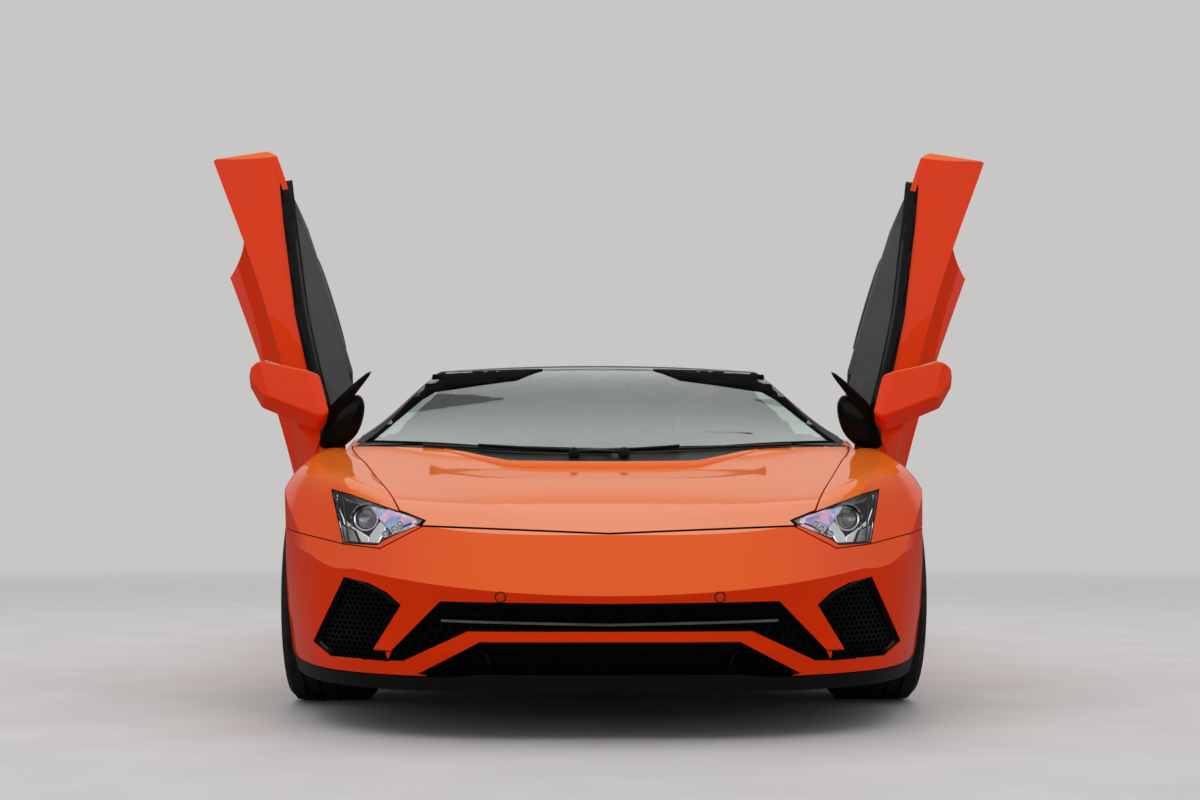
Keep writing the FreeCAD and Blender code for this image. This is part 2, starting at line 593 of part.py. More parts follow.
def out(name, shape):
    """Writes one node."""
    solids = shape.Solids
    result = solids[0] if len(solids) == 1 else Part.makeCompound(solids)
    result.exportStep("parts/" + name + ".step")
    print(name, len(solids), "solids", "valid" if result.isValid() else "not valid")


def without_slivers(shape, least=SLIVER_VOLUME):
    return Part.makeCompound([s for s in shape.Solids if s.Volume > least])


def skin_level(across, along):
    """The height of the upper skin over a place."""
    line = Part.makeLine(V(across, along, GROUND_CLEARANCE + PANEL), V(across, along, CROWN))
    return OUTER.common(line).BoundBox.ZMax


def edge_pin(edge_half, along_share):
    """A pivot pin across the seam beside a lid, and the bore that it takes in the lid."""
    along = y_at(along_share)
    centre = V(edge_half, along, skin_level(edge_half, along) - PANEL / 2)
    reach = ACROSS * (SEAM + PIVOT_PIN * 2)
    bore = rod(centre - reach - ACROSS * SEAT_GAP, centre + reach, PIVOT_PIN + SEAT_GAP)
    return rod(centre - reach, centre + reach, PIVOT_PIN), bore


def exhaust(grow):
    """The silencer box with its row of tail pipes, or the room that they take."""
    level = HEIGHT * exhaust_level_share
    pipes = []
    for share in exhaust_pipe_shares:
        start = V(share * HALF, y_at(exhaust_start_share), level)
        end = V(share * HALF, y_at(exhaust_end_share), level)
        pipe = rod(start, end + ALONG * grow * CROWN, EXHAUST_RADIUS + grow)
        if not grow:
            pipe = pipe.cut(rod(start + ALONG * EXHAUST_RADIUS, end, EXHAUST_RADIUS - EXHAUST_WALL))
        pipes.append(pipe)
    half, depth = HALF * exhaust_box_share, EXHAUST_RADIUS * box_depth_share + grow
    low = V(-half, y_at(exhaust_box_start_share), level - depth)
    box = block(low, V(half, y_at(exhaust_start_share) + SEAM, level + depth))
    return fuse([box] + pipes)


def front_panels():
    pin, bore = edge_pin(HALF * hood_pivot_half_share, hood_pivot_share)
    openings = [zone(whole(centre_intake_front_shares), "nose"), both(zone(outer_intake_front_shares, "nose")),
                zone(whole(lower_intake_front_shares), "nose")]
    bumper = carve(SKIN, named("bumper"), [LAMP_HOLE, ARCHES, named("splitter", FIXED_SEAM)] + openings)
    out("front_bumper", without_slivers(bumper))
    hood = carve(SKIN, named("hood"), [named("bumper", SEAM), both(lamp_prism(SEAM, LAMP_INWARD)), DOOR_SEAM])
    hood = max(hood.Solids, key=lambda s: s.Volume)
    out("hood", hood.cut(both(bore)))
    fender_room = block(V(0, NOSE, BELOW), V(CROWN, y_at(fender_end_share), CROWN))
    fender = carve(SKIN, both(fender_room), [
        named("hood", SEAM), named("bumper", FIXED_SEAM), LAMP_HOLE, named("cowl", SEAT_GAP), ARCHES,
        named("windshield", SEAT_GAP), named("pillar", FIXED_SEAM).common(named("pillar_side", FIXED_SEAM)),
        named("window"), DOOR_SEAM, named("skirt", FIXED_SEAM), named("splitter", FIXED_SEAM), both(sail_swing())])
    fender = without_slivers(fender)
    out("fenders", fuse(fender.Solids + [pin, mirrored(pin)]))
    pivot = V(0, y_at(hood_pivot_share), 0)
    pivot.z = skin_level(HALF * hood_pivot_half_share, pivot.y) - PANEL / 2
    swing = both(rod(pivot, pivot + ACROSS * HALF, HOOD_CORNER_ROOM))
    out("cowl", without_slivers(carve(GLASS_SKIN, named("cowl"), [DOOR_SEAM, named("hood", SEAM), swing])))
    slab = block(V(-HALF, NOSE, GROUND_CLEARANCE), V(HALF, FRONT_AXLE, HEIGHT))
    out("front_splitter", without_slivers(carve(SKIN.common(slab), named("splitter"), [ARCHES])))
    mesh_end = V(HALF, y_at(grille_end_share), HEIGHT * grille_top_share)
    mesh_room = block(V(-HALF, NOSE, RAISED_FLOOR + PANEL), mesh_end)
    out("front_grilles", without_slivers(carve(BACKING, mesh_room, [ARCHES, both(lamp_prism(PANEL, LAMP_BEHIND))])))


def glass_and_roof():
    pillar = named("pillar").common(named("pillar_side"))
    out("roof_frame", without_slivers(carve(SKIN, pillar, [
        named("windshield", SEAT_GAP), named("roof", SEAT_GAP), named("rear_window", SEAT_GAP), named("window"),
        named("cover", SEAM), named("cowl", SEAT_GAP), DOOR_SEAM])))
    out("windshield", without_slivers(carve(GLASS_SKIN, named("windshield"), [DOOR_SEAM])))
    out("roof_panel", without_slivers(SKIN.common(named("roof", -SEAT_GAP))))
    out("rear_window", without_slivers(GLASS_SKIN.common(named("rear_window"))))


def engine_slats():
    """Louvres across the opening over the engine, each tipped down at its front edge."""
    first, last = [y_at(along) for across, along in (engine_bay_top_shares[0], engine_bay_top_shares[-1])]
    layer = body_form(SLAT_DEPTH).cut(body_form(SLAT_DEPTH + SLAT_THICKNESS))
    bay = named("engine_bay", -SEAT_GAP)
    pitch = (last - first) / SLATS
    slats = []
    for i in range(SLATS):
        front, back = first + i * pitch, first + (i + 1) * pitch - SLAT_OVERLAP
        slat = layer.common(block(V(-HALF, front, 0), V(HALF, back, CROWN)))
        hinge = V(0, back, skin_level(0, back) - SLAT_DEPTH)
        slat.rotate(hinge, ACROSS, -SLAT_TILT)
        slats.append(slat.common(bay))
    return Part.makeCompound([solid for slat in slats for solid in slat.Solids])


def diffuser_fins():
    """Upright fins that stand out behind the diffuser's skin."""
    fins = []
    for share in diffuser_fin_across_shares:
        across = share * HALF
        fin = prism(diffuser_fin_side_shares, "side", across - FIN_THICKNESS / 2, across + FIN_THICKNESS / 2)
        fin = max(fin.cut(INNER).Solids, key=lambda solid: solid.Volume)
        fins += [fin, mirrored(fin)]
    return fins


def rear_panels():
    pin, bore = edge_pin(HALF * cover_pivot_half_share, cover_pivot_share)
    cover = without_slivers(SKIN.common(named("cover", -SEAM / 2))).cut(both(bore)).cut(named("engine_bay"))
    out("engine_cover", cover)
    out("engine_slats", engine_slats())
    quarter_room = block(V(0, y_at(quarter_start_share), BELOW), V(CROWN, NOSE + LENGTH * 2, CROWN))
    pillar = named("pillar", FIXED_SEAM).common(named("pillar_side", FIXED_SEAM))
    quarter = carve(SKIN, both(quarter_room), [
        DOOR_SEAM, named("skirt", FIXED_SEAM), pillar, named("window"), named("intake"), ARCHES,
        named("cover", SEAM / 2), named("spoiler", SEAT_GAP), named("rear_bumper", FIXED_SEAM),
        both(zone(tail_lamp_front_shares, "tail"))])
    out("quarters", fuse(without_slivers(quarter).Solids + [pin, mirrored(pin)]))
    out("rear_spoiler", without_slivers(SKIN.common(named("spoiler"))))
    lamp = both(zone(tail_lamp_front_shares, "tail"))
    bumper = carve(SKIN, named("rear_bumper"), [
        named("spoiler", SEAT_GAP), named("cover", SEAM / 2), lamp, named("mesh"), named("diffuser"), ARCHES,
        exhaust(FIXED_SEAM)])
    out("rear_bumper", without_slivers(bumper))
    lamp_room = both(zone(tail_lamp_front_shares, "tail", -SEAT_GAP))
    out("tail_lights", without_slivers(carve(SKIN, lamp_room, [named("spoiler", SEAM)])))
    mesh = BACKING.common(named("mesh", PANEL)).common(named("rear_bumper", -FIXED_SEAM))
    out("rear_grille", without_slivers(mesh.cut(exhaust(SEAT_GAP))))
    lower = SKIN.common(named("diffuser", -SEAT_GAP)).common(named("rear_bumper"))
    lower = without_slivers(lower.cut(exhaust(SEAT_GAP)))
    out("diffuser", fuse(lower.Solids + diffuser_fins()))
    skirt = carve(SKIN, named("skirt"), [ARCHES])
    out("side_skirts", without_slivers(skirt))
    intake_layer = block(V(INTAKE_DEPTH_HALF, NOSE, BELOW), V(INTAKE_DEPTH_HALF + MESH_DEPTH, LENGTH, CROWN))
    intake_room = named("intake", PANEL).common(both(intake_layer))
    swing = both(prism(door_swing_side_shares, "side", 0, CROWN))
    out("side_intakes", without_slivers(intake_room.common(STRUCTURE_ROOM).cut(DOOR_SEAM).cut(swing)))


def lamps():
    full = OUTER.common(lamp_prism(-SEAT_GAP, LAMP_DEPTH))
    hollow = lamp_prism(-SEAT_GAP - LAMP_WALL, LAMP_DEPTH - LAMP_WALL)
    housing = full.cut(hollow)
    corners = [at(c) for c in headlight_corner_shares]
    normal = (corners[1] - corners[0]).cross(corners[4] - corners[0]).normalize()
    normal = normal if normal.z > 0 else normal * -1
    seat = at(projector_shares) - normal * (LAMP_DEPTH - LAMP_WALL * 3 / 2)
    projector = rod(seat, seat + normal * PROJECTOR_LENGTH, PROJECTOR_RADIUS)
    housing = max(fuse([housing, projector.common(full)]).Solids, key=lambda s: s.Volume)
    out("headlights", both(housing))
    lens = GLASS_SKIN.common(lamp_prism(-SEAT_GAP * 2 - LAMP_WALL, LAMP_DEPTH))
    out("headlight_lenses", both(without_slivers(lens)))


def runs_along(edge, axis):
    tangent = edge.tangentAt(edge.FirstParameter)
    return abs(tangent.dot(axis)) > tangent.cross(axis).Length


def mirror_body():
    """A swept mirror housing on its arm, in the closed door's place."""
    low, high = at(mirror_low_shares), at(mirror_high_shares)
    plan = prism(mirror_top_shares, "top", low.z, high.z)
    upright = [edge for edge in plan.Edges if runs_along(edge, UP)]
    plan = plan.makeFillet(MIRROR_CORNER, upright)
    face = prism(mirror_front_shares, "front", low.y, high.y)
    along = [edge for edge in face.Edges if runs_along(edge, ALONG)]
    housing = plan.common(face.makeFillet(MIRROR_ROUND, along))
    housing = housing.makeFillet(MIRROR_ROUND, housing.Edges)
    foot, head = [at(place) for place in mirror_arm_shares]
    mirror = fuse([housing, rod(foot, head, MIRROR_STALK)]).cut(upper_form(-SEAT_GAP))
    return max(mirror.Solids, key=lambda s: s.Volume)


def belt_trim_zone(grow):
    """The black trim along the inner edge of the door's shoulder."""
    return prism(belt_trim_top_shares, "top", HEIGHT * belt_trim_level_share - grow, CROWN, grow)


def sail_swing():
    """The room the sail's front tip sweeps as the door starts to lift."""
    return block(at(sail_swing_low_shares), at(sail_swing_high_shares))


def doors():
    room = door_skin_zone(0)
    cabin_side = INNER.common(block(V(0, NOSE, BELOW), V(DOOR_INNER_HALF, LENGTH, CROWN)))
    start = DOOR_HINGE - DOOR_AXIS * HALF
    bore = Part.makeCylinder(HINGE_PIN_RADIUS + SEAT_GAP, WIDTH, start, DOOR_AXIS)
    bore = bore.common(block(V(0, NOSE, BELOW), V(DOOR_HINGE.x + HINGE_PIN_RADIUS, LENGTH, CROWN)))
    wall = OUTER.cut(cabin_side)
    panel = wall.common(room).cut(FRONT_ARCH).cut(bore)
    door = panel.cut(belt_trim_zone(SEAT_GAP))
    door = max(door.Solids, key=lambda s: s.Volume)
    panel_zone = prism(sail_side_shares, "side", CABIN_HALF, CROWN).common(belt_trim_zone(0))
    sail_zone = fuse([room.common(belt_trim_zone(0)), panel_zone])
    sail = wall.common(sail_zone).cut(FRONT_ARCH).cut(bore)
    sail = sail.cut(body_form(LENS).common(prism(sail_thin_side_shares, "side", 0, CROWN)))
    sail = sail.cut(block(V(0, NOSE, BELOW), V(WIDTH, y_at(sail_start_share), CROWN)))
    sail = max(sail.Solids, key=lambda s: s.Volume)
    trim_end = DOOR_INNER_HALF - SEAT_GAP
    trim = prism(door_trim_side_shares, "side", trim_end - DOOR_TRIM, trim_end)
    mirror = mirror_body()
    for name, flip in (("left", False), ("right", True)):
        for node, shape in (("door_", door), ("door_trim_", trim), ("mirror_", mirror), ("door_sail_", sail)):
            opened = shape.copy()
            opened.rotate(DOOR_HINGE, DOOR_AXIS, DOOR_ANGLE)
            out(node + name, mirrored(opened) if flip else opened)


def door_hinges():
    wall = CABIN_HALF + CABIN_WALL
    start = DOOR_HINGE - DOOR_AXIS * ((DOOR_HINGE.x - CABIN_HALF) / DOOR_AXIS.x + HINGE_PIN_RADIUS)
    pin = rod(start, DOOR_HINGE, HINGE_PIN_RADIUS)
    return pin.common(block(V(wall - CABIN_WALL / 2, NOSE, BELOW), V(HALF, LENGTH, CROWN)))


def tub():
    start, end = y_at(cabin_start_share), y_at(cabin_end_share)
    wall = CABIN_HALF + CABIN_WALL
    floor = block(V(-wall, start, RAISED_FLOOR), V(wall, end, RAISED_FLOOR + FLOOR_THICKNESS))
    front = block(V(-wall, start, RAISED_FLOOR), V(wall, start + BULKHEAD, CROWN))
    back = block(V(-wall, end - BULKHEAD, RAISED_FLOOR), V(wall, end, HEIGHT * bulkhead_top_share))
    tunnel = block(V(-TUNNEL_HALF, start, RAISED_FLOOR), V(TUNNEL_HALF, end, RAISED_FLOOR + TUNNEL_HEIGHT))
    side = block(V(CABIN_HALF, start - BULKHEAD, RAISED_FLOOR), V(HALF, end, CROWN))
    side = side.cut(prism(side_open_side_shares, "side", 0, CROWN))
    side = side.cut(arch(FRONT_WHEEL, FRONT_ARCH_RADIUS + LINER + SEAT_GAP, WELL_HALF - LINER))
    rear_side = prism(side_intake_side_shares, "side", INTAKE_DEPTH_HALF - SEAT_GAP, CROWN, PANEL * 2)
    side = side.common(STRUCTURE_ROOM).cut(door_cut(SEAM, wall)).cut(rear_side)
    side = side.cut(prism(door_swing_side_shares, "side", wall, CROWN))
    side = side.cut(prism(sail_side_shares, "side", CABIN_HALF, CROWN, SEAM * 2))
    side = side.cut(sail_swing())
    side = fuse([side, door_hinges()])
    walls = fuse([floor, front, back, tunnel]).common(STRUCTURE_ROOM)
    shape = fuse([walls, side, mirrored(side)])
    shape = max(shape.Solids, key=lambda s: s.Volume)
    return shape


def liners():
    """The wheel wells: a curved wall over each tyre and a flat wall inboard of it."""
    wells = []
    for wheel, radius, wall_half in (
            (FRONT_WHEEL, FRONT_ARCH_RADIUS, WELL_HALF), (REAR_WHEEL, REAR_ARCH_RADIUS, REAR_WELL_HALF)):
        outer = arch(wheel, radius + LINER, wall_half - LINER)
        inner = arch(wheel, radius, wall_half)
        well = outer.cut(inner).common(STRUCTURE_ROOM)
        floor = block(V(0, NOSE, BELOW), V(HALF, LENGTH, RAISED_FLOOR))
        hole = block(V(0, wheel.y - LINK_ROOM, BELOW), V(wall_half + LINER, wheel.y + LINK_ROOM, wheel.z + LINK_ROOM))
        well = well.cut(floor).cut(hole)
        wells.append(without_slivers(well))
    wells[0] = wells[0].cut(door_cut(SEAM, CABIN_HALF + CABIN_WALL))
    out("wheel_liners", both(without_slivers(Part.makeCompound(wells[0].Solids + wells[1].Solids))))


def luggage_tub():
    """The open box under the hood."""
    low, high = at(luggage_low_shares), at(luggage_high_shares)
    outer = block(V(-high.x, low.y, low.z), high)
    wall = V(LINER, LINER, LINER)
    inner = block(V(-high.x, low.y, low.z) + wall, V(high.x - LINER, high.y - LINER, CROWN))
    out("luggage_tub", outer.cut(inner).common(body_form(PANEL + SEAM)))


def undertray():
    slab = block(V(-HALF, NOSE, GROUND_CLEARANCE), V(HALF, -NOSE, GROUND_CLEARANCE + TRAY))
    arches = [arch(FRONT_WHEEL, FRONT_ARCH_RADIUS, WELL_HALF - LINER - SEAT_GAP),
              arch(REAR_WHEEL, REAR_ARCH_RADIUS, REAR_WELL_HALF - LINER - SEAT_GAP)]
    tray = STRUCTURE_ROOM.common(slab).cut(both(Part.makeCompound(arches)))
    out("undertray", without_slivers(tray))


def ring(outer, inner, start, end, wheel):
    """A ring about a wheel's axis between two planes across the car."""
    base = V(start, wheel.y, wheel.z)
    body = Part.makeCylinder(outer, end - start, base, ACROSS)
    return body.cut(Part.makeCylinder(inner, end - start, base, ACROSS)) if inner else body


def tyre(wheel, radius, width, bead):
    """A revolved tyre with rounded shoulders."""
    half, shoulder = width / 2, (radius - bead) * shoulder_share
    seat, tread = half * bead_width_share, half * tread_width_share
    profile = [(-seat, bead), (-half, bead + shoulder), (-half, radius - shoulder), (-tread, radius),
               (tread, radius), (half, radius - shoulder), (half, bead + shoulder), (seat, bead)]
    points = [V(x, 0, r) for x, r in profile]
    edges = []
    for i, (a, b) in enumerate(zip(points, points[1:] + points[:1])):
        if i in (2, 4):
            corner = V(a.x if abs(a.x) > abs(b.x) else b.x, 0, radius)
            curve = Part.BezierCurve()
            curve.setPoles([a, corner, b])
            edges.append(curve.toShape())
        else:
            edges.append(Part.makeLine(a, b))
    body = Part.Face(Part.Wire(edges)).revolve(ORIGIN, ACROSS, FULL_TURN)
    body.translate(wheel)
    return body


def rim(wheel, width, bead):
    """The barrel with its flanges, the hub and the paired spokes."""
    half, inner = width / 2 * bead_width_share, bead - RIM_THICKNESS
    profile = [(-half, inner), (half, inner), (half, bead - SEAT_GAP), (-half, bead - SEAT_GAP)]
    points = [V(x, 0, r) for x, r in profile]
    barrel = Part.Face(Part.makePolygon(points + points[:1])).revolve(ORIGIN, ACROSS, FULL_TURN)
    face = half * rim_face_share
    root, foot, tip = face - HUB_LENGTH / 3, SPOKE_FOOT / 2, SPOKE_TIP / 2
    low, high = HUB_RADIUS * hub_core_share, inner + RIM_THICKNESS / 2
    outline = [V(root, -foot, low), V(root, foot, low), V(root, tip, high), V(root, -tip, high)]
    hub = Part.makeCylinder(HUB_RADIUS, HUB_LENGTH, V(face - HUB_LENGTH, 0, 0), ACROSS)
    pieces = [barrel, hub]
    for i in range(SPOKES):
        pair = i // 2 * (FULL_TURN * 2 / SPOKES) + (SPOKE_SPREAD if i % 2 else -SPOKE_SPREAD)
        spoke = Part.Face(Part.makePolygon(outline + outline[:1])).extrude(ACROSS * (half * spoke_face_share - root))
        spoke.rotate(ORIGIN, ACROSS, pair)
        pieces.append(spoke)
    body = fuse(pieces)
    bore = Part.makeCylinder(SPINDLE_RADIUS + SEAT_GAP, HUB_LENGTH + half, V(face - HUB_LENGTH, 0, 0), ACROSS)
    cap = Part.makeCylinder(HUB_RADIUS, half, V(face - HUB_LENGTH * hub_cap_share, 0, 0), ACROSS)
    body = body.cut(bore.cut(cap))
    body.translate(wheel)
    return body


def corners():
    """Tyre, rim, brake disc, knuckle or upright, and caliper of each wheel."""
    corner_sizes = (
        ("front", FRONT_WHEEL, FRONT_TYRE_RADIUS, FRONT_TYRE_WIDTH, FRONT_BEAD_RADIUS, FRONT_DISC_RADIUS),
        ("rear", REAR_WHEEL, REAR_TYRE_RADIUS, REAR_TYRE_WIDTH, REAR_BEAD_RADIUS, REAR_DISC_RADIUS))
    uprights = []
    for name, wheel, radius, width, bead, disc_radius in corner_sizes:
        face = wheel.x + width / 2 * bead_width_share * rim_face_share
        hub_start = face - HUB_LENGTH
        disc_start = hub_start - DISC_THICKNESS
        disc = ring(disc_radius, SPINDLE_RADIUS + SEAT_GAP, disc_start, hub_start - SEAT_GAP, wheel)
        carrier_end = disc_start - SEAT_GAP
        spindle = ring(SPINDLE_RADIUS, 0, carrier_end - HUB_LENGTH, face - HUB_LENGTH * spindle_inset_share, wheel)
        carrier_start = carrier_end - HUB_LENGTH * carrier_length_share
        carrier = ring(HUB_RADIUS * carrier_share, 0, carrier_start, carrier_end, wheel)
        plate_half = KNUCKLE_THICKNESS / 2
        pivot_x = KINGPIN_HALF if name == "front" else carrier_start - plate_half
        plate = block(V(pivot_x - plate_half, wheel.y - KNUCKLE_WIDTH / 2, wheel.z - UPRIGHT_HALF),
                      V(pivot_x + plate_half, wheel.y + KNUCKLE_WIDTH / 2, wheel.z + UPRIGHT_HALF))
        bridge = ring(HUB_RADIUS * bridge_share, 0, pivot_x, carrier_end, wheel)
        caliper = ring(disc_radius + CALIPER_WALL, disc_radius - CALIPER_DEPTH, disc_start - CALIPER_WALL,
                       hub_start + CALIPER_WALL, wheel)
        groove = ring(disc_radius + SEAM, 0, disc_start - SEAM, hub_start + SEAM, wheel)
        sector = block(wheel + V(-HALF, KNUCKLE_WIDTH * caliper_start_share, -CALIPER_HALF),
                       wheel + V(HALF, HALF, CALIPER_HALF))
        caliper = caliper.cut(groove).common(sector)
        arm = block(V(pivot_x, wheel.y, wheel.z - CALIPER_HALF / 3),
                    V(disc_start - SEAM, wheel.y + disc_radius - CALIPER_WALL / 2, wheel.z + CALIPER_HALF / 3))
        knuckle = fuse([plate, bridge, carrier, spindle, arm, caliper])
        knuckle = max(knuckle.Solids, key=lambda s: s.Volume)
        for way in (-1, 1):
            end = V(pivot_x, wheel.y, wheel.z + way * UPRIGHT_HALF)
            bore = rod(end, end - UP * way * (KINGPIN_DEPTH + SEAT_GAP), KINGPIN_RADIUS + SEAT_GAP)
            knuckle = knuckle.cut(bore)
        uprights.append((pivot_x, knuckle))
        for side, flip in (("left", False), ("right", True)):
            pieces = [("tyre_", tyre(wheel, radius, width, bead)), ("rim_", rim(wheel, width, bead)),
                ("brake_disc_", disc)]
            if name == "front":
                out("knuckle_front_" + side, mirrored(knuckle) if flip else knuckle)
            for node, shape in pieces:
                out(node + name + "_" + side, mirrored(shape) if flip else shape)
    out("rear_uprights", both(uprights[1][1]))
    for name, wheel, (pivot_x, knuckle), rail in (
            ("front", FRONT_WHEEL, uprights[0], FRONT_RAIL_HALF),
                ("rear", REAR_WHEEL, uprights[1], REAR_RAIL_HALF)):
        pieces = []
        for way in (-1, 1):
            eye_z = wheel.z + way * (UPRIGHT_HALF + SEAT_GAP)
            eye = V(pivot_x, wheel.y, eye_z)
            ball = rod(eye, eye + UP * (way * ARM_RADIUS * ball_reach_share), KINGPIN_RADIUS * 2)
            pin = rod(eye - UP * (way * KINGPIN_DEPTH), eye + UP * (way * ARM_RADIUS), KINGPIN_RADIUS)
            middle = eye + UP * (way * ARM_RADIUS * arm_offset_share)
            mounts = [V(rail - ARM_RADIUS, wheel.y + fore * ARM_SPREAD, wheel.z + way * ARM_MOUNT_RISE) for fore in (-1, 1)]
            legs = [rod(middle, mount, ARM_RADIUS) for mount in mounts]
            inboard = block(V(0, NOSE, BELOW), V(rail + SEAT_GAP, LENGTH, CROWN))
            arm = fuse([ball, pin] + legs).cut(inboard)
            pieces.append(arm)
        out(name + "_suspension", both(Part.makeCompound(pieces)))


def frames():
    """The rails in front of the tub and behind it, with towers at the arms' inner ends."""
    start, end = y_at(cabin_start_share), y_at(cabin_end_share)
    for name, rail, tub_end, far_end, wheel, cross_shares in (
            ("front_frame", FRONT_RAIL_HALF, start - SEAT_GAP, y_at(front_rail_end_share),
                FRONT_WHEEL, front_cross_shares),
            ("rear_frame", REAR_RAIL_HALF, end + SEAT_GAP, y_at(rear_rail_end_share),
                REAR_WHEEL, rear_cross_shares)):
        low, high = sorted((tub_end, far_end))
        level = RAISED_FLOOR
        rails = block(V(rail - RAIL, low, level), V(rail, high, level + RAIL))
        towers = [block(V(rail - RAIL, wheel.y + way * ARM_SPREAD - RAIL / 2, level),
                        V(rail, wheel.y + way * ARM_SPREAD + RAIL / 2, wheel.z + ARM_MOUNT_RISE + RAIL)) for way in (-1, 1)]
        cross = [block(V(-rail, y, level), V(rail, y + RAIL, level + RAIL)) for y in
                 (low + (high - low) * share for share in cross_shares)]
        pieces = [rails, mirrored(rails)] + towers + [mirrored(t) for t in towers] + cross
        out(name, fuse(pieces).common(STRUCTURE_ROOM))


def cabin():
    start, end = y_at(cabin_start_share) + BULKHEAD, y_at(cabin_end_share) - BULKHEAD
    floor = RAISED_FLOOR + FLOOR_THICKNESS
    half = CABIN_HALF - SEAT_GAP
    dash = prism(dash_side_shares, "side", -half, half)
    dash = dash.common(body_form(PANEL + SEAT_GAP * 2))
    dash = dash.cut(block(V(-half, start - HALF, BELOW), V(half, start + SEAT_GAP, CROWN)))
    tunnel_room = block(V(-TUNNEL_HALF - SEAT_GAP, start, BELOW),
                        V(TUNNEL_HALF + SEAT_GAP, end, RAISED_FLOOR + TUNNEL_HEIGHT + SEAT_GAP))
    out("dashboard", dash.cut(tunnel_room))
    seat = prism(seat_side_shares, "side", TUNNEL_HALF + SEAT_GAP * 4, TUNNEL_HALF + SEAT_WIDTH)
    out("seats", both(seat))
    hub = at(steering_wheel_shares)
    axis = V(0, 1, math.tan(math.radians(COLUMN_RISE))).normalize()
    wheel_ring = Part.makeTorus(STEERING_RADIUS, STEERING_GRIP, hub, axis)
    column = rod(hub - axis * COLUMN_LENGTH, hub, STEERING_GRIP * 3 / 2)
    side = axis.cross(UP).normalize()
    spokes = [rod(hub, hub + way * STEERING_RADIUS, STEERING_GRIP * spoke_grip_share)
              for way in (side, -side, axis.cross(side))]
    wheel = fuse([wheel_ring, column] + spokes)
    out("steering_wheel", wheel.cut(dash))


def drivetrain():
    low, high = at(engine_low_shares), at(engine_high_shares)
    low.z = RAISED_FLOOR + RAIL + SEAT_GAP
    engine = block(V(-high.x, low.y, low.z), high)
    out("engine_block", engine)
    wipers = []
    for pivot, tip in wiper_points_shares:
        points = [at(pivot), at(tip)]
        points = [V(p.x, p.y, skin_level(p.x, p.y) + WIPER_RADIUS + SEAT_GAP) for p in points]
        wipers.append(rod(points[0], points[1], WIPER_RADIUS).cut(OUTER))
    out("wipers", Part.makeCompound(wipers))
    out("exhaust", exhaust(0))


def main():
    os.makedirs("parts", exist_ok=True)
    front_panels()
    glass_and_roof()
    rear_panels()
    lamps()
    doors()
    out("tub", tub())
    liners()
    luggage_tub()
    undertray()
    corners()
    frames()
    cabin()
    drivetrain()


main()
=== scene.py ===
import json
import math

import bmesh
import bpy
from mathutils import Matrix, Vector
from mathutils.bvhtree import BVHTree


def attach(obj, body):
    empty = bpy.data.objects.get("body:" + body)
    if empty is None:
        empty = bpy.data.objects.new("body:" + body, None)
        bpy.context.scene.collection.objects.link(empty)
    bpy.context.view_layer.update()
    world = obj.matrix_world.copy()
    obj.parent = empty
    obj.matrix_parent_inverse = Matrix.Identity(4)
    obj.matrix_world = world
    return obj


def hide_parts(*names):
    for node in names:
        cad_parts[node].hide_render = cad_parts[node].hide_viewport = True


# Frame and shared places. Tables are in millimetres: x across, s behind the front axle, z up
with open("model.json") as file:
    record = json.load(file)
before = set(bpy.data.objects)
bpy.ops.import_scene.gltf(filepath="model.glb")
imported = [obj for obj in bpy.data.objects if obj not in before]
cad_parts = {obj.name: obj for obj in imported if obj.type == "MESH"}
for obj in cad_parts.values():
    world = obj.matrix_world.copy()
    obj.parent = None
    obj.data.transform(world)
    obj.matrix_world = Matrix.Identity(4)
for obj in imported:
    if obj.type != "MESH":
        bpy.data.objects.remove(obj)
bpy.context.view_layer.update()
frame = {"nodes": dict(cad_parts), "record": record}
nodes = frame["nodes"]
sides = {"left": 1, "right": -1}
axleY = -1.2685
door = {"hinge": (860, 430, 680), "tilt": 19.3, "angle": 71}
wheels = {
    "front": {"x": 825, "s": 0, "radius": 330.5, "width": 255, "bead": 254},
    "rear": {"x": 835, "s": 2700, "radius": 355.5, "width": 345, "bead": 266.7},
}


def spot(x, s, z):
    return Vector((x / 1000, axleY + s / 1000, z / 1000))


def shift(x, y, z):
    return Vector((x, y, z)) * 0.001


def doorSwing(sign):
    hinge = spot(door["hinge"][0] * sign, *door["hinge"][1:])
    tilt = math.radians(door["tilt"])
    axis = Vector((math.cos(tilt), 0, -math.sin(tilt) * sign))
    turn = Matrix.Rotation(math.radians(door["angle"]), 4, axis)
    return Matrix.Translation(hinge) @ turn @ Matrix.Translation(-hinge)


# Node helpers
def newTree(name):
    made = bpy.data.materials.new(name)
    made.use_nodes = True
    made.node_tree.nodes.clear()
    return made, made.node_tree


def setInputs(tree, node, inputs):
    for key, value in (inputs or {}).items():
        if isinstance(value, bpy.types.NodeSocket):
            tree.links.new(value, node.inputs[key])
        else:
            node.inputs[key].default_value = value
    return node


def addNode(tree, kind, inputs=None, **settings):
    node = tree.nodes.new(kind)
    for key, value in settings.items():
        setattr(node, key, value)
    return setInputs(tree, node, inputs)


def rampNode(tree, factor, stops):
    node = addNode(tree, "ShaderNodeValToRGB", {"Fac": factor})
    while len(node.color_ramp.elements) < len(stops):
        node.color_ramp.elements.new(0.5)
    for element, (place, colour) in zip(node.color_ramp.elements, stops):
        element.position = place
        element.color = (*colour, 1)
    return node.outputs["Color"]


def mathNode(tree, operation, first, second=0.0):
    return addNode(tree, "ShaderNodeMath", {0: first, 1: second}, operation=operation).outputs[0]


def rangeNode(tree, value, low, high, fromLow=0.0, fromHigh=1.0):
    inputs = {"Value": value, "From Min": fromLow, "From Max": fromHigh, "To Min": low, "To Max": high}
    return addNode(tree, "ShaderNodeMapRange", inputs).outputs[0]


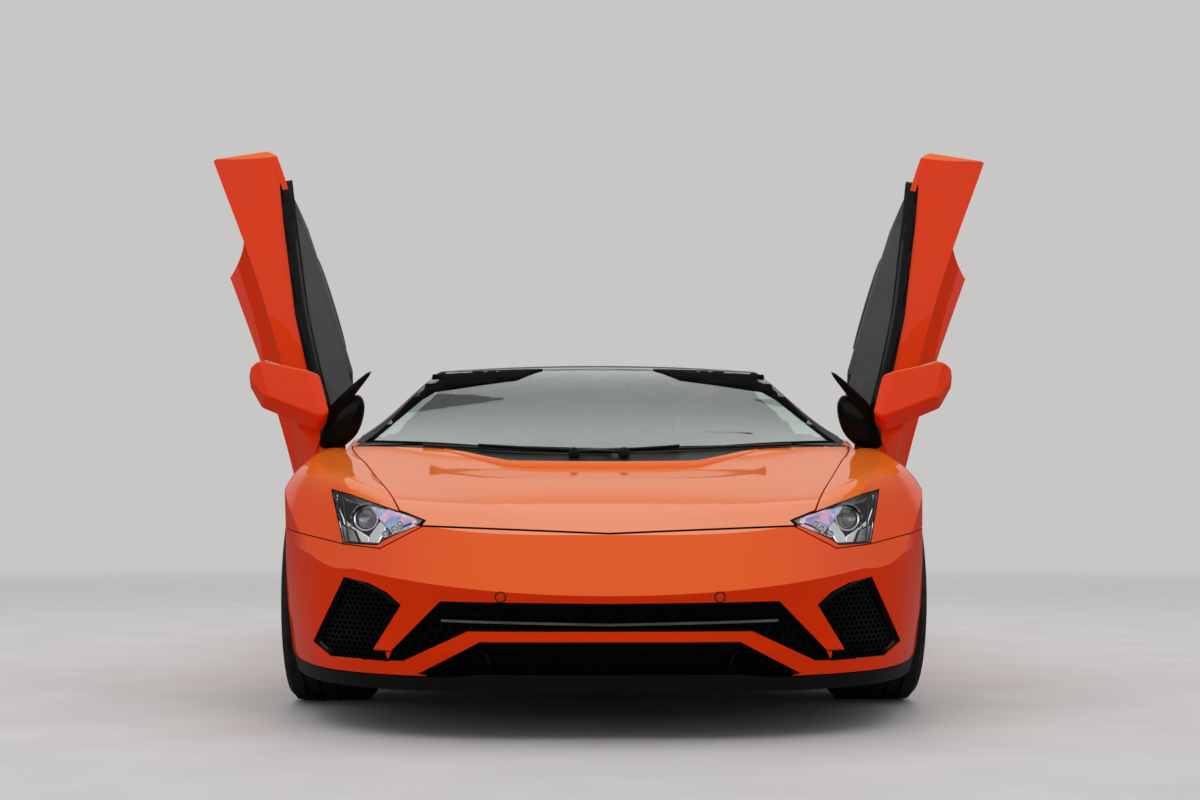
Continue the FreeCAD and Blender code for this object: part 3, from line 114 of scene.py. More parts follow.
def mixColour(tree, factor, first, second, blend="MIX"):
    node = addNode(tree, "ShaderNodeMix", data_type="RGBA", blend_type=blend)
    values = {0: factor, 6: first, 7: second}
    return setInputs(tree, node, {key: (*value, 1) if isinstance(value, tuple) else value
                                  for key, value in values.items()}).outputs[2]


def splitNode(tree, vector):
    return addNode(tree, "ShaderNodeSeparateXYZ", {"Vector": vector}).outputs


def noiseNode(tree, place, scale, detail, **inputs):
    inputs = {"Vector": place, "Scale": scale, "Detail": detail, **inputs}
    return addNode(tree, "ShaderNodeTexNoise", inputs).outputs["Fac"]


def bumpNode(tree, height, strength, distance, **inputs):
    inputs = {"Height": height, "Strength": strength, "Distance": distance, **inputs}
    return addNode(tree, "ShaderNodeBump", inputs).outputs["Normal"]


def squareSum(tree, values):
    return mathNode(tree, "ADD", *[mathNode(tree, "MULTIPLY", value, value) for value in values])


def shaderOf(tree, base, rough, normal, metal=0.0, specular=0.5, coat=0.0, coatRough=0.03, coatIor=1.5, sheen=0.0):
    shader = addNode(tree, "ShaderNodeBsdfPrincipled", {
        "Base Color": base, "Roughness": rough, "Normal": normal, "Metallic": metal, "Specular IOR Level": specular,
        "Coat Weight": coat, "Coat Roughness": coatRough, "Coat IOR": coatIor, "Sheen Weight": sheen,
        "Sheen Roughness": 0.45 if sheen else 0.5})
    addNode(tree, "ShaderNodeOutputMaterial", {"Surface": shader.outputs["BSDF"]})


def objectPlace(tree):
    return addNode(tree, "ShaderNodeTexCoord").outputs["Object"]


def newGroup(name, inputs, outputs):
    group = bpy.data.node_groups.new(name, "ShaderNodeTree")
    kinds = {True: "NodeSocketVector", False: "NodeSocketFloat"}
    for key, value in inputs.items():
        kind = kinds[isinstance(value, tuple)]
        group.interface.new_socket(key, in_out="INPUT", socket_type=kind).default_value = value
    for key in outputs:
        group.interface.new_socket(key, in_out="OUTPUT", socket_type=kinds[key == "Normal"])
    return group, group.nodes.new("NodeGroupInput").outputs, group.nodes.new("NodeGroupOutput")


def useGroup(tree, group, inputs):
    return setInputs(tree, addNode(tree, "ShaderNodeGroup", node_tree=group), inputs).outputs


# Effect groups: masks, values and normals that materials share
def grainGroup():
    group, given, out = newGroup("grain", {"Place": (0, 0, 0), "Scale": 900, "Depth": 0.1}, ("Tone", "Normal"))
    pits = addNode(group, "ShaderNodeTexVoronoi", {"Vector": given["Place"], "Scale": given["Scale"]})
    fine = noiseNode(group, given["Place"], given["Scale"], 4)
    height = mathNode(group, "ADD", fine, pits.outputs["Distance"])
    setInputs(group, out, {"Tone": noiseNode(group, given["Place"], 14, 4),
                           "Normal": bumpNode(group, height, given["Depth"], 0.0004)})
    return group


def weaveGroup():
    group, given, out = newGroup("twill", {"Place": (0, 0, 0), "Scale": 500}, ("Over", "Normal"))
    inputs = {0: given["Place"], "Scale": given["Scale"]}
    x, y, z = splitNode(group, addNode(group, "ShaderNodeVectorMath", inputs, operation="SCALE").outputs[0])
    threads = [mathNode(group, "ADD", way, z) for way in (x, y)]
    step = mathNode(group, "ADD", *[mathNode(group, "FLOOR", thread) for thread in threads])
    over = mathNode(group, "LESS_THAN", mathNode(group, "FLOORED_MODULO", step, 4.0), 2.0)
    waves = [mathNode(group, "PINGPONG", thread, 0.5) for thread in threads]
    height = addNode(group, "ShaderNodeMix", {0: over, 2: waves[0], 3: waves[1]}).outputs[0]
    setInputs(group, out, {"Over": over, "Normal": bumpNode(group, height, 0.25, 0.0006)})
    return group


def turnedGroup():
    group, given, out = newGroup("turned", {"Rings": 60}, ("Ring", "Radius", "Angle"))
    place = addNode(group, "ShaderNodeTexCoord").outputs["Generated"]
    centred = addNode(group, "ShaderNodeVectorMath", {0: place, 1: (0.5, 0.5, 0.5)}, operation="SUBTRACT")
    y, z = splitNode(group, centred.outputs[0])[1:]
    radius = mathNode(group, "SQRT", squareSum(group, (y, z)))
    ring = mathNode(group, "PINGPONG", mathNode(group, "MULTIPLY", radius, given["Rings"]), 0.5)
    setInputs(group, out, {"Ring": ring, "Radius": radius, "Angle": mathNode(group, "ARCTAN2", z, y)})
    return group


grain, twill, turned = grainGroup(), weaveGroup(), turnedGroup()


# Materials
def paintMaterial():
    # Painted light: the tones, read by how far the normal points up, make upward-facing paint lighter and yellower as
    # if lit from above, and downward-facing paint darker red. The deep red mixed in towards grazing angles is painted
    # shade on the sides. The flakes mix in the same deep red as grain.
    paint = {"tones": [(0.0, (0.95, 0.042, 0.001)), (0.6, (0.95, 0.060, 0.002)), (0.95, (1.0, 0.24, 0.018))],
             "deep": (0.62, 0.030, 0.001), "flakeScale": 2600, "flakeBump": 0.05, "edge": 0.3}
    made, tree = newTree("orangePaint")
    place = objectPlace(tree)
    inputs = {"Vector": place, "Scale": paint["flakeScale"]}
    flakes = addNode(tree, "ShaderNodeTexVoronoi", inputs).outputs["Distance"]
    facing = addNode(tree, "ShaderNodeLayerWeight", {"Blend": 0.3}).outputs["Facing"]
    # Painted highlight and shade: colour set by the normal's height and by the grazing angle
    lean = splitNode(tree, addNode(tree, "ShaderNodeNewGeometry").outputs["Normal"])["Z"]
    grazingShade = mathNode(tree, "MULTIPLY", facing, paint["edge"])
    base = mixColour(tree, grazingShade, rampNode(tree, lean, paint["tones"]), paint["deep"])
    flaked = mixColour(tree, rangeNode(tree, flakes, 0.0, 0.25), base, paint["deep"])
    rough = rangeNode(tree, noiseNode(tree, place, 3, 6), 0.36, 0.46)
    shaderOf(tree, flaked, rough, bumpNode(tree, flakes, paint["flakeBump"], 0.0002), metal=0.15, specular=0.0,
             coat=0.5, coatIor=1.38)
    return made


def plainMaterial(name, colour, rough, scale=900, depth=0.1, spread=0.15, **settings):
    made, tree = newTree(name)
    effect = useGroup(tree, grain, {"Place": objectPlace(tree), "Scale": scale, "Depth": depth})
    dark, light = (tuple(part * (1 + way * spread) for part in colour) for way in (-1, 1))
    base = rampNode(tree, effect["Tone"], [(0.35, dark), (0.65, light)])
    roughness = rangeNode(tree, effect["Tone"], rough * 0.85, min(1.0, rough * 1.15))
    shaderOf(tree, base, roughness, effect["Normal"], **settings)
    return made


def glassMaterial(name, tint, ior=1.45):
    made, tree = newTree(name)
    effect = useGroup(tree, grain, {"Place": objectPlace(tree), "Scale": 60})
    rough = rangeNode(tree, effect["Tone"], 0.0, 0.02, 0.45, 0.8)
    shader = addNode(tree, "ShaderNodeBsdfPrincipled", {"Base Color": (*tint, 1), "Roughness": rough, "IOR": ior,
                                                        "Transmission Weight": 1.0})
    addNode(tree, "ShaderNodeOutputMaterial", {"Surface": shader.outputs["BSDF"]})
    return made


def carbonMaterial():
    made, tree = newTree("carbonWeave")
    effect = useGroup(tree, twill, {"Place": objectPlace(tree), "Scale": 260})
    base = mixColour(tree, effect["Over"], (0.005, 0.005, 0.005), (0.013, 0.013, 0.014))
    shaderOf(tree, base, rangeNode(tree, effect["Over"], 0.35, 0.5), effect["Normal"], specular=0.2, coat=0.25,
             coatRough=0.12)
    return made


def discMaterial():
    disc = {"holesRound": 36, "rowsOut": 26, "stagger": 0.33, "holeSize": 0.03}
    made, tree = newTree("drilledSteel")
    effect = useGroup(tree, turned, {"Rings": 90})
    around = mathNode(tree, "MULTIPLY", effect["Angle"], disc["holesRound"] / math.tau)
    out = mathNode(tree, "MULTIPLY", effect["Radius"], disc["rowsOut"])
    staggered = mathNode(tree, "MULTIPLY", mathNode(tree, "FLOOR", out), disc["stagger"])
    cells = [mathNode(tree, "FRACT", value) for value in (mathNode(tree, "ADD", around, staggered), out)]
    offsets = [mathNode(tree, "SUBTRACT", cell, 0.5) for cell in cells]
    # The holes are not cut: each is a dark spot, painted shade of the hole's depth
    holeShade = mathNode(tree, "LESS_THAN", squareSum(tree, offsets), disc["holeSize"])
    base = mixColour(tree, holeShade, (0.42, 0.42, 0.43), (0.02, 0.02, 0.02))
    shaderOf(tree, base, rangeNode(tree, effect["Ring"], 0.25, 0.42), bumpNode(tree, effect["Ring"], 0.12, 0.0004),
             metal=0.9)
    return made


def rubberMaterial():
    made, tree = newTree("rubber")
    effect = useGroup(tree, turned, {"Rings": 70})
    rough = useGroup(tree, grain, {"Place": objectPlace(tree), "Scale": 1200, "Depth": 0.12})
    ribs = mathNode(tree, "MULTIPLY", effect["Ring"], mathNode(tree, "LESS_THAN", effect["Radius"], 0.46))
    base = rampNode(tree, rough["Tone"], [(0.35, (0.006, 0.006, 0.006)), (0.7, (0.015, 0.015, 0.014))])
    bump = bumpNode(tree, ribs, 0.35, 0.0006, Normal=rough["Normal"])
    shaderOf(tree, base, rangeNode(tree, rough["Tone"], 0.62, 0.85), bump, specular=0.25)
    return made


def redLensMaterial():
    made, tree = newTree("redLens")
    across = mathNode(tree, "MULTIPLY", splitNode(tree, objectPlace(tree))["X"], 120)
    flute = mathNode(tree, "PINGPONG", across, 0.5)
    base = mixColour(tree, flute, (0.10, 0.002, 0.002), (0.20, 0.004, 0.003))
    shaderOf(tree, base, 0.2, bumpNode(tree, flute, 0.3, 0.002), specular=0.2, coat=0.3, coatRough=0.02)
    return made


def iridescentMaterial():
    film = [(0.1, (0.30, 0.42, 0.85)), (0.3, (0.90, 0.86, 0.22)), (0.5, (0.40, 0.78, 0.66)),
            (0.7, (0.60, 0.66, 0.95)), (0.9, (0.92, 0.52, 0.72))]
    made, tree = newTree("coatedReflector")
    facing = addNode(tree, "ShaderNodeLayerWeight", {"Blend": 0.5}).outputs["Facing"]
    waves = noiseNode(tree, objectPlace(tree), 16, 2)
    band = mathNode(tree, "FRACT", mathNode(tree, "ADD", facing, waves))
    shaderOf(tree, rampNode(tree, band, film), 0.2, bumpNode(tree, waves, 0.3, 0.02), metal=0.6)
    return made


def clothMaterial(name, colour, scale=1500):
    made, tree = newTree(name)
    place = objectPlace(tree)
    nap = useGroup(tree, grain, {"Place": place, "Scale": scale, "Depth": 0.35})
    dark, light = (tuple(part * way for part in colour) for way in (0.7, 1.45))
    base = rampNode(tree, noiseNode(tree, place, 26, 6, Distortion=0.6), [(0.38, dark), (0.62, light)])
    shaderOf(tree, base, 0.92, nap["Normal"], sheen=0.5)
    return made


# The record's slots first, then the finishes that only this script uses
finishes = {
    "paint": paintMaterial(),
    "black_gloss": plainMaterial("blackGloss", (0.003, 0.003, 0.003), 0.25, scale=300, depth=0.01, specular=0.06,
                                 coat=0.12, coatRough=0.04, coatIor=1.35),
    "black_plastic": plainMaterial("blackPlastic", (0.006, 0.006, 0.006), 0.5, scale=1100, depth=0.2, specular=0.15),
    "glass": glassMaterial("tintedGlass", (0.34, 0.46, 0.40)),
    "lens": glassMaterial("lampLens", (0.985, 0.99, 1.0), 1.12),
    "lamp": plainMaterial("lampHousing", (0.05, 0.05, 0.055), 0.3, scale=700, coat=0.3),
    "red_lens": redLensMaterial(),
    "carbon": carbonMaterial(),
    "steel": discMaterial(),
    "aluminium": plainMaterial("castAluminium", (0.5, 0.5, 0.52), 0.38, metal=0.9, scale=500, depth=0.25),
    "alcantara": clothMaterial("suede", (0.022, 0.022, 0.024)),
    "tyre": rubberMaterial(),
    "rim": plainMaterial("rimPaint", (0.020, 0.020, 0.022), 0.24, metal=0.3, scale=1600, depth=0.03, coat=0.8,
                         coatRough=0.04),
    "caliper": plainMaterial("caliperPaint", (0.05, 0.05, 0.052), 0.3, scale=500, coat=0.6),
    "chrome": iridescentMaterial(),
    "silver": plainMaterial("lampSilver", (0.78, 0.79, 0.82), 0.16, metal=1.0, scale=800, depth=0.02, spread=0.04),
    "reflector": plainMaterial("greyReflector", (0.20, 0.20, 0.20), 0.35, scale=420, depth=0.6),
    "smoked": glassMaterial("smokedGlass", (0.06, 0.075, 0.07), 1.2),
    "dome": glassMaterial("projectorDome", (0.5, 0.52, 0.56)),
    "glow": plainMaterial("ledWhite", (0.85, 0.87, 0.9), 0.2, depth=0.02, spread=0.03),
    "net": plainMaterial("netPlastic", (0.002, 0.002, 0.002), 0.5, specular=0.04),
    "roofBlack": plainMaterial("roofBlack", (0.003, 0.003, 0.003), 0.4, depth=0.05, specular=0.05),
    # The intake blade is mid grey rather than black: painted highlight standing in for the light along its edge
    "blade": plainMaterial("bladeHighlightGrey", (0.11, 0.11, 0.115), 0.35, scale=1300),
    "void": plainMaterial("deepBlack", (0.0015, 0.0015, 0.0015), 0.9, depth=0.2, specular=0.03),
    "seal": plainMaterial("sealRubber", (0.006, 0.006, 0.007), 0.6, scale=1500, depth=0.2),
    "card": plainMaterial("doorCard", (0.045, 0.047, 0.048), 0.62, scale=800, depth=0.5),
    "leather": plainMaterial("leather", (0.016, 0.016, 0.017), 0.48, scale=420, depth=0.6),
    "thread": clothMaterial("thread", (0.50, 0.05, 0.008), 3000),
    "screen": plainMaterial("screenGlass", (0.006, 0.007, 0.010), 0.08, depth=0.004, coat=1.0, coatRough=0.02),
    "mirror": plainMaterial("mirrorGlass", (0.42, 0.44, 0.46), 0.02, metal=1.0, depth=0.0, spread=0.02),
    "bright": plainMaterial("polishedSteel", (0.6, 0.6, 0.61), 0.16, metal=1.0, scale=400, depth=0.05),
    "brightRed": plainMaterial("lampRed", (0.62, 0.008, 0.006), 0.2, depth=0.02, spread=0.06, specular=0.2,
                               coat=0.25, coatRough=0.02),
    "suede": clothMaterial("seatSuede", (0.020, 0.020, 0.022)),
    "webbing": clothMaterial("webbing", (0.012, 0.012, 0.013), 2600),
    "plenum": plainMaterial("wrinkleBlack", (0.02, 0.02, 0.021), 0.45, scale=700, depth=0.7),
    "amber": plainMaterial("dialRing", (0.30, 0.10, 0.03), 0.3, depth=0.05, coat=0.3),
}
nodeFinishes = {"rear_window": "smoked", "roof_panel": "roofBlack", "roof_frame": "roofBlack", "headlights": "void",
                "door_trim": "card", "tub": "leather", "dashboard": "leather", "front_grilles": "void",
                "rear_grille": "void", "side_intakes": "void"}


def dressNodes():
    for part in frame["record"]["subparts"]:
        chosen = part["material_slot"]
        for start, finish in nodeFinishes.items():
            if part["node"].startswith(start):
                chosen = finish
        worn = nodes[part["node"]].data.materials
        worn.clear()
        worn.append(finishes[chosen])


dressNodes()
print("dressed the frame")


# Places on the frame's surfaces
skins = {}
views = {"front": lambda u, v, sign: (spot(u * sign, -4000, v), Vector((0, 1, 0))),
         "back": lambda u, v, sign: (spot(u * sign, 6000, v), Vector((0, -1, 0))),
         "top": lambda u, v, sign: (spot(u * sign, v, 3000), Vector((0, 0, -1))),
         "side": lambda u, v, sign: (spot(2500 * sign, u, v), Vector((-sign, 0, 0)))}


def skinOf(node):
    if node not in skins:
        mesh = nodes[node].data
        skins[node] = BVHTree.FromPolygons([v.co for v in mesh.vertices], [p.vertices for p in mesh.polygons])
    return skins[node]


def landRay(names, origin, direction):
    best = None
    for name in names:
        place, normal, index, distance = skinOf(name).ray_cast(origin, direction)
        if place is not None and (best is None or distance < best[2]):
            best = (place, normal if normal.dot(direction) < 0 else -normal, distance, name)
    return best


def rayFrom(view, u, v, sign, swing=None):
    origin, direction = views[view](u, v, sign)
    return (swing @ origin, swing.to_3x3() @ direction) if swing else (origin, direction)


def land(names, view, u, v, sign=1, swing=None):
    return landRay(names, *rayFrom(view, u, v, sign, swing))


# Outlines
def scaled(outline, middle, across, up):
    return [(middle[0] + (u - middle[0]) * across, middle[1] + (v - middle[1]) * up) for u, v in outline]


def boxOutline(lowU, lowV, highU, highV):
    return [(lowU, lowV), (highU, lowV), (highU, highV), (lowU, highV)]


def ovalOutline(u, v, halfU, halfV, count):
    turns = [math.tau * i / count for i in range(count)]
    return [(u + math.cos(turn) * halfU, v + math.sin(turn) * halfV) for turn in turns]


def spans(outline):
    return [(min(values), max(values)) for values in zip(*outline)]


# Making pieces
def putObject(name, data):
    put = bpy.data.objects.new(name, data)
    bpy.context.collection.objects.link(put)
    return put


def addPiece(name, data, finish, body, sharp=35):
    piece = putObject(name, data)
    data.materials.append(finishes[finish])
    if isinstance(data, bpy.types.Mesh):
        data.polygons.foreach_set("use_smooth", [True] * len(data.polygons))
        data.set_sharp_from_angle(angle=math.radians(sharp))
    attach(piece, body)
    return piece


def meshPiece(name, points, faces, finish, body="body", sharp=35):
    mesh = bpy.data.meshes.new(name)
    mesh.from_pydata([tuple(point) for point in points], [], faces)
    return addPiece(name, mesh, finish, body, sharp)


def bevelPiece(piece, width, segments=2):
    edge = piece.modifiers.new("edge", "BEVEL")
    edge.width, edge.segments, edge.limit_method = width / 1000, segments, "ANGLE"
    return piece


def smoothPiece(piece):
    smooth = piece.modifiers.new("smooth", "SUBSURF")
    smooth.levels = smooth.render_levels = 1
    return piece


def faceOut(piece):
    made = bmesh.new()
    made.from_mesh(piece.data)
    bmesh.ops.recalc_face_normals(made, faces=made.faces)
    made.to_mesh(piece.data)
    made.free()
    return piece


# A skin over rings of points, each ring closed; looped joins the last ring to the first
def loftPiece(name, rings, finish, body="body", bevel=0, segments=2, looped=False, sharp=35):
    count, faces = len(rings[0]), []
    points = [point for ring in rings for point in ring]
    for i in range(len(rings) if looped else len(rings) - 1):
        for j in range(count):
            near, far = i * count, (i + 1) % len(rings) * count
            faces.append((near + j, near + (j + 1) % count, far + (j + 1) % count, far + j))
    if not looped:
        faces += [tuple(range(count))[::-1], tuple(range(len(points) - count, len(points)))]
    piece = faceOut(meshPiece(name, points, faces, finish, body, sharp))
    return bevelPiece(piece, bevel, segments) if bevel else piece


def prismPiece(name, outline, view, start, end, finish, sign=1, bevel=1.5):
    corners = {"front": lambda u, v, w: spot(u * sign, w, v), "side": lambda u, v, w: spot(w * sign, u, v)}[view]
    loftPiece(name, [[corners(u, v, level) for u, v in outline] for level in (start, end)], finish, bevel=bevel)


def wirePiece(name, points, radius, finish, body="body", looped=False):
    data = bpy.data.curves.new(name, "CURVE")
    data.dimensions, data.resolution_u = "3D", 6
    data.bevel_depth, data.bevel_resolution, data.use_fill_caps = radius / 1000, 2, True
    line = data.splines.new("POLY" if looped else "NURBS")
    line.points.add(len(points) - 1)
    for knot, point in zip(line.points, points):
        knot.co = (*point, 1)
    line.use_cyclic_u = looped
    if not looped:
        line.order_u, line.use_endpoint_u = 3, True
    return addPiece(name, data, finish, body)


def turnedPiece(name, centre, axis, profile, finish, steps=24, body="body"):
    axis = axis.normalized()
    side = axis.cross(Vector((0, 0, 1))).normalized()
    lift = side.cross(axis).normalized()
    rings = [[centre + axis * x / 1000 + (side * u + lift * v) * max(r, 0.05) / 1000
              for u, v in ovalOutline(0, 0, 1, 1, steps)] for x, r in profile]
    loftPiece(name, rings, finish, body)


def insideOf(outline, u, v):
    inside = False
    for (a, b), (c, d) in zip(outline, outline[1:] + outline[:1]):
        if (b > v) != (d > v) and u < (c - a) * (v - b) / (d - b) + a:
            inside = not inside
    return inside


# A flat outline cut into small cells and dropped onto a node; points that miss follow the nearest that landed
def drapePiece(name, outline, view, node, finish, sign, lift, thick, step=30, body="body", swing=None):
    made = bmesh.new()
    made.faces.new([made.verts.new((u, v, 0)) for u, v in outline])
    for axis, (low, high) in enumerate(spans(outline)):
        for i in range(1, int((high - low) / step) + 1):
            cut = [0, 0, 0]
            cut[axis] = low + i * step
            bmesh.ops.bisect_plane(made, geom=made.verts[:] + made.edges[:] + made.faces[:], plane_co=cut,
                                   plane_no=(1 - axis, axis, 0))
    bmesh.ops.triangulate(made, faces=made.faces)
    known, lost = [], []
    for vert in made.verts:
        hit = land([node], view, vert.co.x, vert.co.y, sign, swing)
        if hit:
            known.append((vert.co.copy(), hit))
            vert.co = hit[0] + hit[1] * lift / 1000
        else:
            lost.append(vert)
    for vert in lost:
        hit = min(known, key=lambda pair: (pair[0] - vert.co).length)[1]
        origin, direction = rayFrom(view, vert.co.x, vert.co.y, sign, swing)
        vert.co = origin + direction * (hit[0] - origin).dot(direction) + hit[1] * lift / 1000
    for face in made.faces:
        face.normal_update()
        if face.normal.dot(known[0][1][1]) < 0:
            face.normal_flip()
    mesh = bpy.data.meshes.new(name)
    made.to_mesh(mesh)
    made.free()
    wall = addPiece(name, mesh, finish, body, 60).modifiers.new("wall", "SOLIDIFY")
    wall.thickness, wall.offset = thick / 1000, 1.0


# A net of hexagon cells on a node, left out where another part stands in front
def netPiece(name, outline, view, node, blockers, sign, cell, wire, deep, lift=1):
    points, faces = [], []
    (lowU, highU), (lowV, highV) = spans(outline)
    up, reach = cell * math.sqrt(3) / 2, cell / math.sqrt(3)
    for row in range(int((highV - lowV) / up) + 2):
        for column in range(int((highU - lowU) / cell) + 2):
            u, v = lowU + (column + row % 2 / 2) * cell, lowV + row * up
            hit = land([node] + blockers, view, u, v, sign) if insideOf(outline, u, v) else None
            if not hit or hit[3] in blockers:
                continue
            ring = []
            for share in (1.0, 1 - 2 * wire / cell):
                for turn in [math.radians(60 * corner + 30) for corner in range(6)]:
                    across, along = math.cos(turn) * reach * share, math.sin(turn) * reach * share
                    far = land([node], view, u + across, v + along, sign)
                    ring.append(far and far[0] + far[1] * (lift + deep) / 1000)
            if any(point is None for point in ring):
                continue
            start = len(points)
            points += ring + [point - hit[1] * deep / 1000 for point in ring[6:]]
            for i in range(6):
                for first in (start, start + 6):
                    j = (i + 1) % 6
                    faces.append((first + i, first + j, first + 6 + j, first + 6 + i))
    meshPiece(name, points, faces, "net", sharp=30)


# Headlights: shapes in the plane of the lamp's corners, u along its upper edge, v down, d into the lamp
lampFrame = {"origin": (786, -480, 645), "along": (-0.580, -0.800, -0.154), "down": (0.604, -0.296, -0.740),
             "normal": (0.546, -0.522, 0.655), "outward": 0.12, "projector": (236, 46, 26)}
# Outline, depths and finish
lampShapes = {
    "field": ([(128, -20), (0, 6), (60, 20), (150, 84), (262, 119), (284, 92), (300, 36), (239, 0)], (50, 56), "void"),
    "inner": ([(462, 8), (196, 4), (322, 43), (374, 57), (426, 72), (480, 46), (500, 28)], (11, 16), "chrome"),
    "box": ([(426, 72), (366, 54), (376, 95), (408, 101)], (26, 30), "void"),
    "armIn": ([(374, 57), (325, 43), (332, 96), (352, 118), (403, 119), (393, 99)], (14, 30), "silver"),
    "armOut": ([(336, 101), (226, 85), (158, 71), (60, 30), (40, 4), (6, 4), (150, 84), (184, 92), (258, 98),
        (330, 128), (370, 124)], (14, 30), "silver"),
    "reflector": ([(166, 92), (242, 142), (329, 133), (256, 101), (186, 95)], (9, 14), "reflector"),
    "hood": ([(190, 5), (60, 6), (84, 14), (180, 12)], (22, 26), "reflector"),
}
lampLeds = {"places": [(430, 40), (424, 58), (404, 80)], "depth": 10, "led": [(0, 7), (3, 6), (5, 4), (6, 0)],
            "ring": [(0, 10), (5, 10), (6, 9), (5, 7), (2, 6), (0, 6)]}
projector = {
    "bowl": ([(-26, 31), (-18, 37), (-6, 47), (0, 41), (2, 40), (-3, 44), (-10, 37), (-16, 29)], "rim"),
    "ring": ([(-14, 35), (0, 36), (4, 34), (3, 30), (-12, 30)], "bright"),
    "back": ([(-20, 32), (-16, 27), (-15, 0)], "screen"),
    "dome": ([(-12, 30), (-4, 28), (4, 22), (9, 13), (11, 0)], "dome"),
}
lampRim = {"outline": [(11, 5), (488, 4), (521, 30), (445, 127), (272, 150)], "middle": (265, 62), "across": 0.975,
           "up": 0.93, "sunk": 0.0065, "above": -120}


def lampPoint(u, v, d, sign):
    axes = [Vector(lampFrame[key]) for key in ("along", "down", "normal")]
    place = Vector(lampFrame["origin"]) + axes[0] * u + axes[1] * v - axes[2] * d
    return spot(place.x * sign, place.y, place.z)


def makeHeadlights():
    corners = lampRim["outline"]
    run = [(a + (c - a) * i / 8, b + (d - b) * i / 8)
           for (a, b), (c, d) in zip(corners, corners[1:] + corners[:1]) for i in range(8)]
    for side, sign in sides.items():
        for key, (outline, depths, finish) in lampShapes.items():
            rings = [[lampPoint(u, v, d, sign) for u, v in outline] for d in depths[::-1]]
            loftPiece(f"lamp_{key}_{side}", rings, finish, bevel=3 if finish == "silver" else 1)
        forward = Vector((lampFrame["outward"] * sign, -1, 0.05)).normalized()
        for i, place in enumerate(lampLeds["places"]):
            centre = lampPoint(*place, lampLeds["depth"], sign)
            turnedPiece(f"led_ring_{i}_{side}", centre, forward, lampLeds["ring"], "bright")
            turnedPiece(f"led_{i}_{side}", centre, forward, lampLeds["led"], "glow", 16)
        for key, (profile, finish) in projector.items():
            centre = lampPoint(*lampFrame["projector"], sign)
            turnedPiece(f"projector_{key}_{side}", centre, forward, profile, finish, 36)
        points = []
        for u, v in scaled(run, lampRim["middle"], lampRim["across"], lampRim["up"]):
            start = lampPoint(u, v, lampRim["above"], sign)
            inward = (lampPoint(u, v, 0, sign) - start).normalized()
            hit = landRay(["headlight_lenses"], start, inward)
            if hit:
                points.append(hit[0] + inward * lampRim["sunk"])
        wirePiece(f"lamp_rim_{side}", points, 3.2, "seal", looped=True)


makeHeadlights()
print("made the headlights")


# Nose: nets, blades, vanes and sensors in the intakes
nose = {
    "net": [(590, 385), (628, 393), (701, 406), (712, 375), (775, 228), (737, 194), (640, 197), (611, 223),
        (536, 339), (560, 358)],
    "vane": [(701, 406), (797, 227), (737, 194), (722, 204), (768, 232), (684, 400)],
    "lip": [(536, 339), (576, 371), (628, 393), (701, 406), (684, 400), (632, 384), (582, 362), (548, 336)],
    "join": [(562, 221), (617, 221), (642, 196), (569, 194)],
    "centreNet": [(0, 346), (432, 351), (560, 223), (572, 195), (531, 195), (362, 275), (0, 275)],
    "bladeHeight": 292, "bladeHalf": 430, "bladeRise": 0.022, "bladeAhead": 4,
    "bladeSection": ((-18, 0), (-14.4, 3.2), (0, 2.56), (0, -2.56), (-14.4, -3.2)),
    "fin": [(296, 178), (309, 220), (315, 220), (303, 178)],
    "sensor": (277, 363), "sensorRing": [(-1, 15), (0.8, 15), (1.4, 13), (0.4, 11.5), (-1, 11)],
    "sensorFace": [(-1, 10.5), (1, 10), (1.4, 8), (1.5, 0)],
}


def makeNose():
    grille, blockers = "front_grilles", ["front_bumper", "front_splitter"]
    for side, sign in sides.items():
        netPiece(f"intake_net_{side}", nose["net"], "front", grille, blockers, sign, cell=15, wire=2.2, deep=5)
        for key in ("vane", "lip"):
            drapePiece(f"intake_{key}_{side}", nose[key], "front", grille, "black_gloss", sign, lift=2, thick=9)
        netPiece(f"centre_net_{side}", nose["centreNet"], "front", grille, blockers, sign, cell=26, wire=3, deep=5)
        drapePiece(f"intake_fin_{side}", nose["fin"], "front", grille, "black_gloss", sign, lift=1, thick=16, step=20)
        drapePiece(f"intake_join_{side}", nose["join"], "front", "front_bumper", "void", sign, lift=0.3, thick=0.8,
                   step=15)
        place, normal = land(["front_bumper"], "front", *nose["sensor"], sign)[:2]
        turnedPiece(f"sensor_ring_{side}", place, normal, nose["sensorRing"], "seal", 28)
        turnedPiece(f"sensor_{side}", place, normal, nose["sensorFace"], "paint", 28)
    rings = []
    for i in range(-12, 13):
        x = nose["bladeHalf"] * i / 12
        place = land([grille], "front", x, nose["bladeHeight"] + abs(x) * nose["bladeRise"])[0]
        place += shift(0, -nose["bladeAhead"], 0)
        rings.append([place + shift(0, y, z) for y, z in nose["bladeSection"]])
    # The blade's grey finish is painted highlight
    loftPiece("intake_blade", rings, "blade")


makeNose()
print("made the nose")


# Windshield: frit, sensor pod and wipers; the lip along the hood's rear edge
glassShapes = {
    "fritSide": [(788, 434), (772, 491), (747, 576), (727, 646), (704, 722), (672, 833), (657, 884), (634, 962),
        (607, 1056), (583, 1136), (575, 1165), (205, 1186), (205, 1110), (296, 985), (489, 921), (584, 894),
        (626, 830), (672, 724), (706, 636), (742, 520), (760, 446)],
    "fritTop": [(0, 1190), (210, 1184), (210, 1130), (0, 1150)],
    "fritLow": [(0, 240), (400, 290), (790, 430), (770, 452), (400, 322), (0, 272)],
    "pod": [(0, 1010), (38, 1014), (44, 1120), (0, 1124)], "podMiddle": (0, 1066),
    "podLevels": ((8, 0.9), (14, 1.0), (30, 0.82)),
}
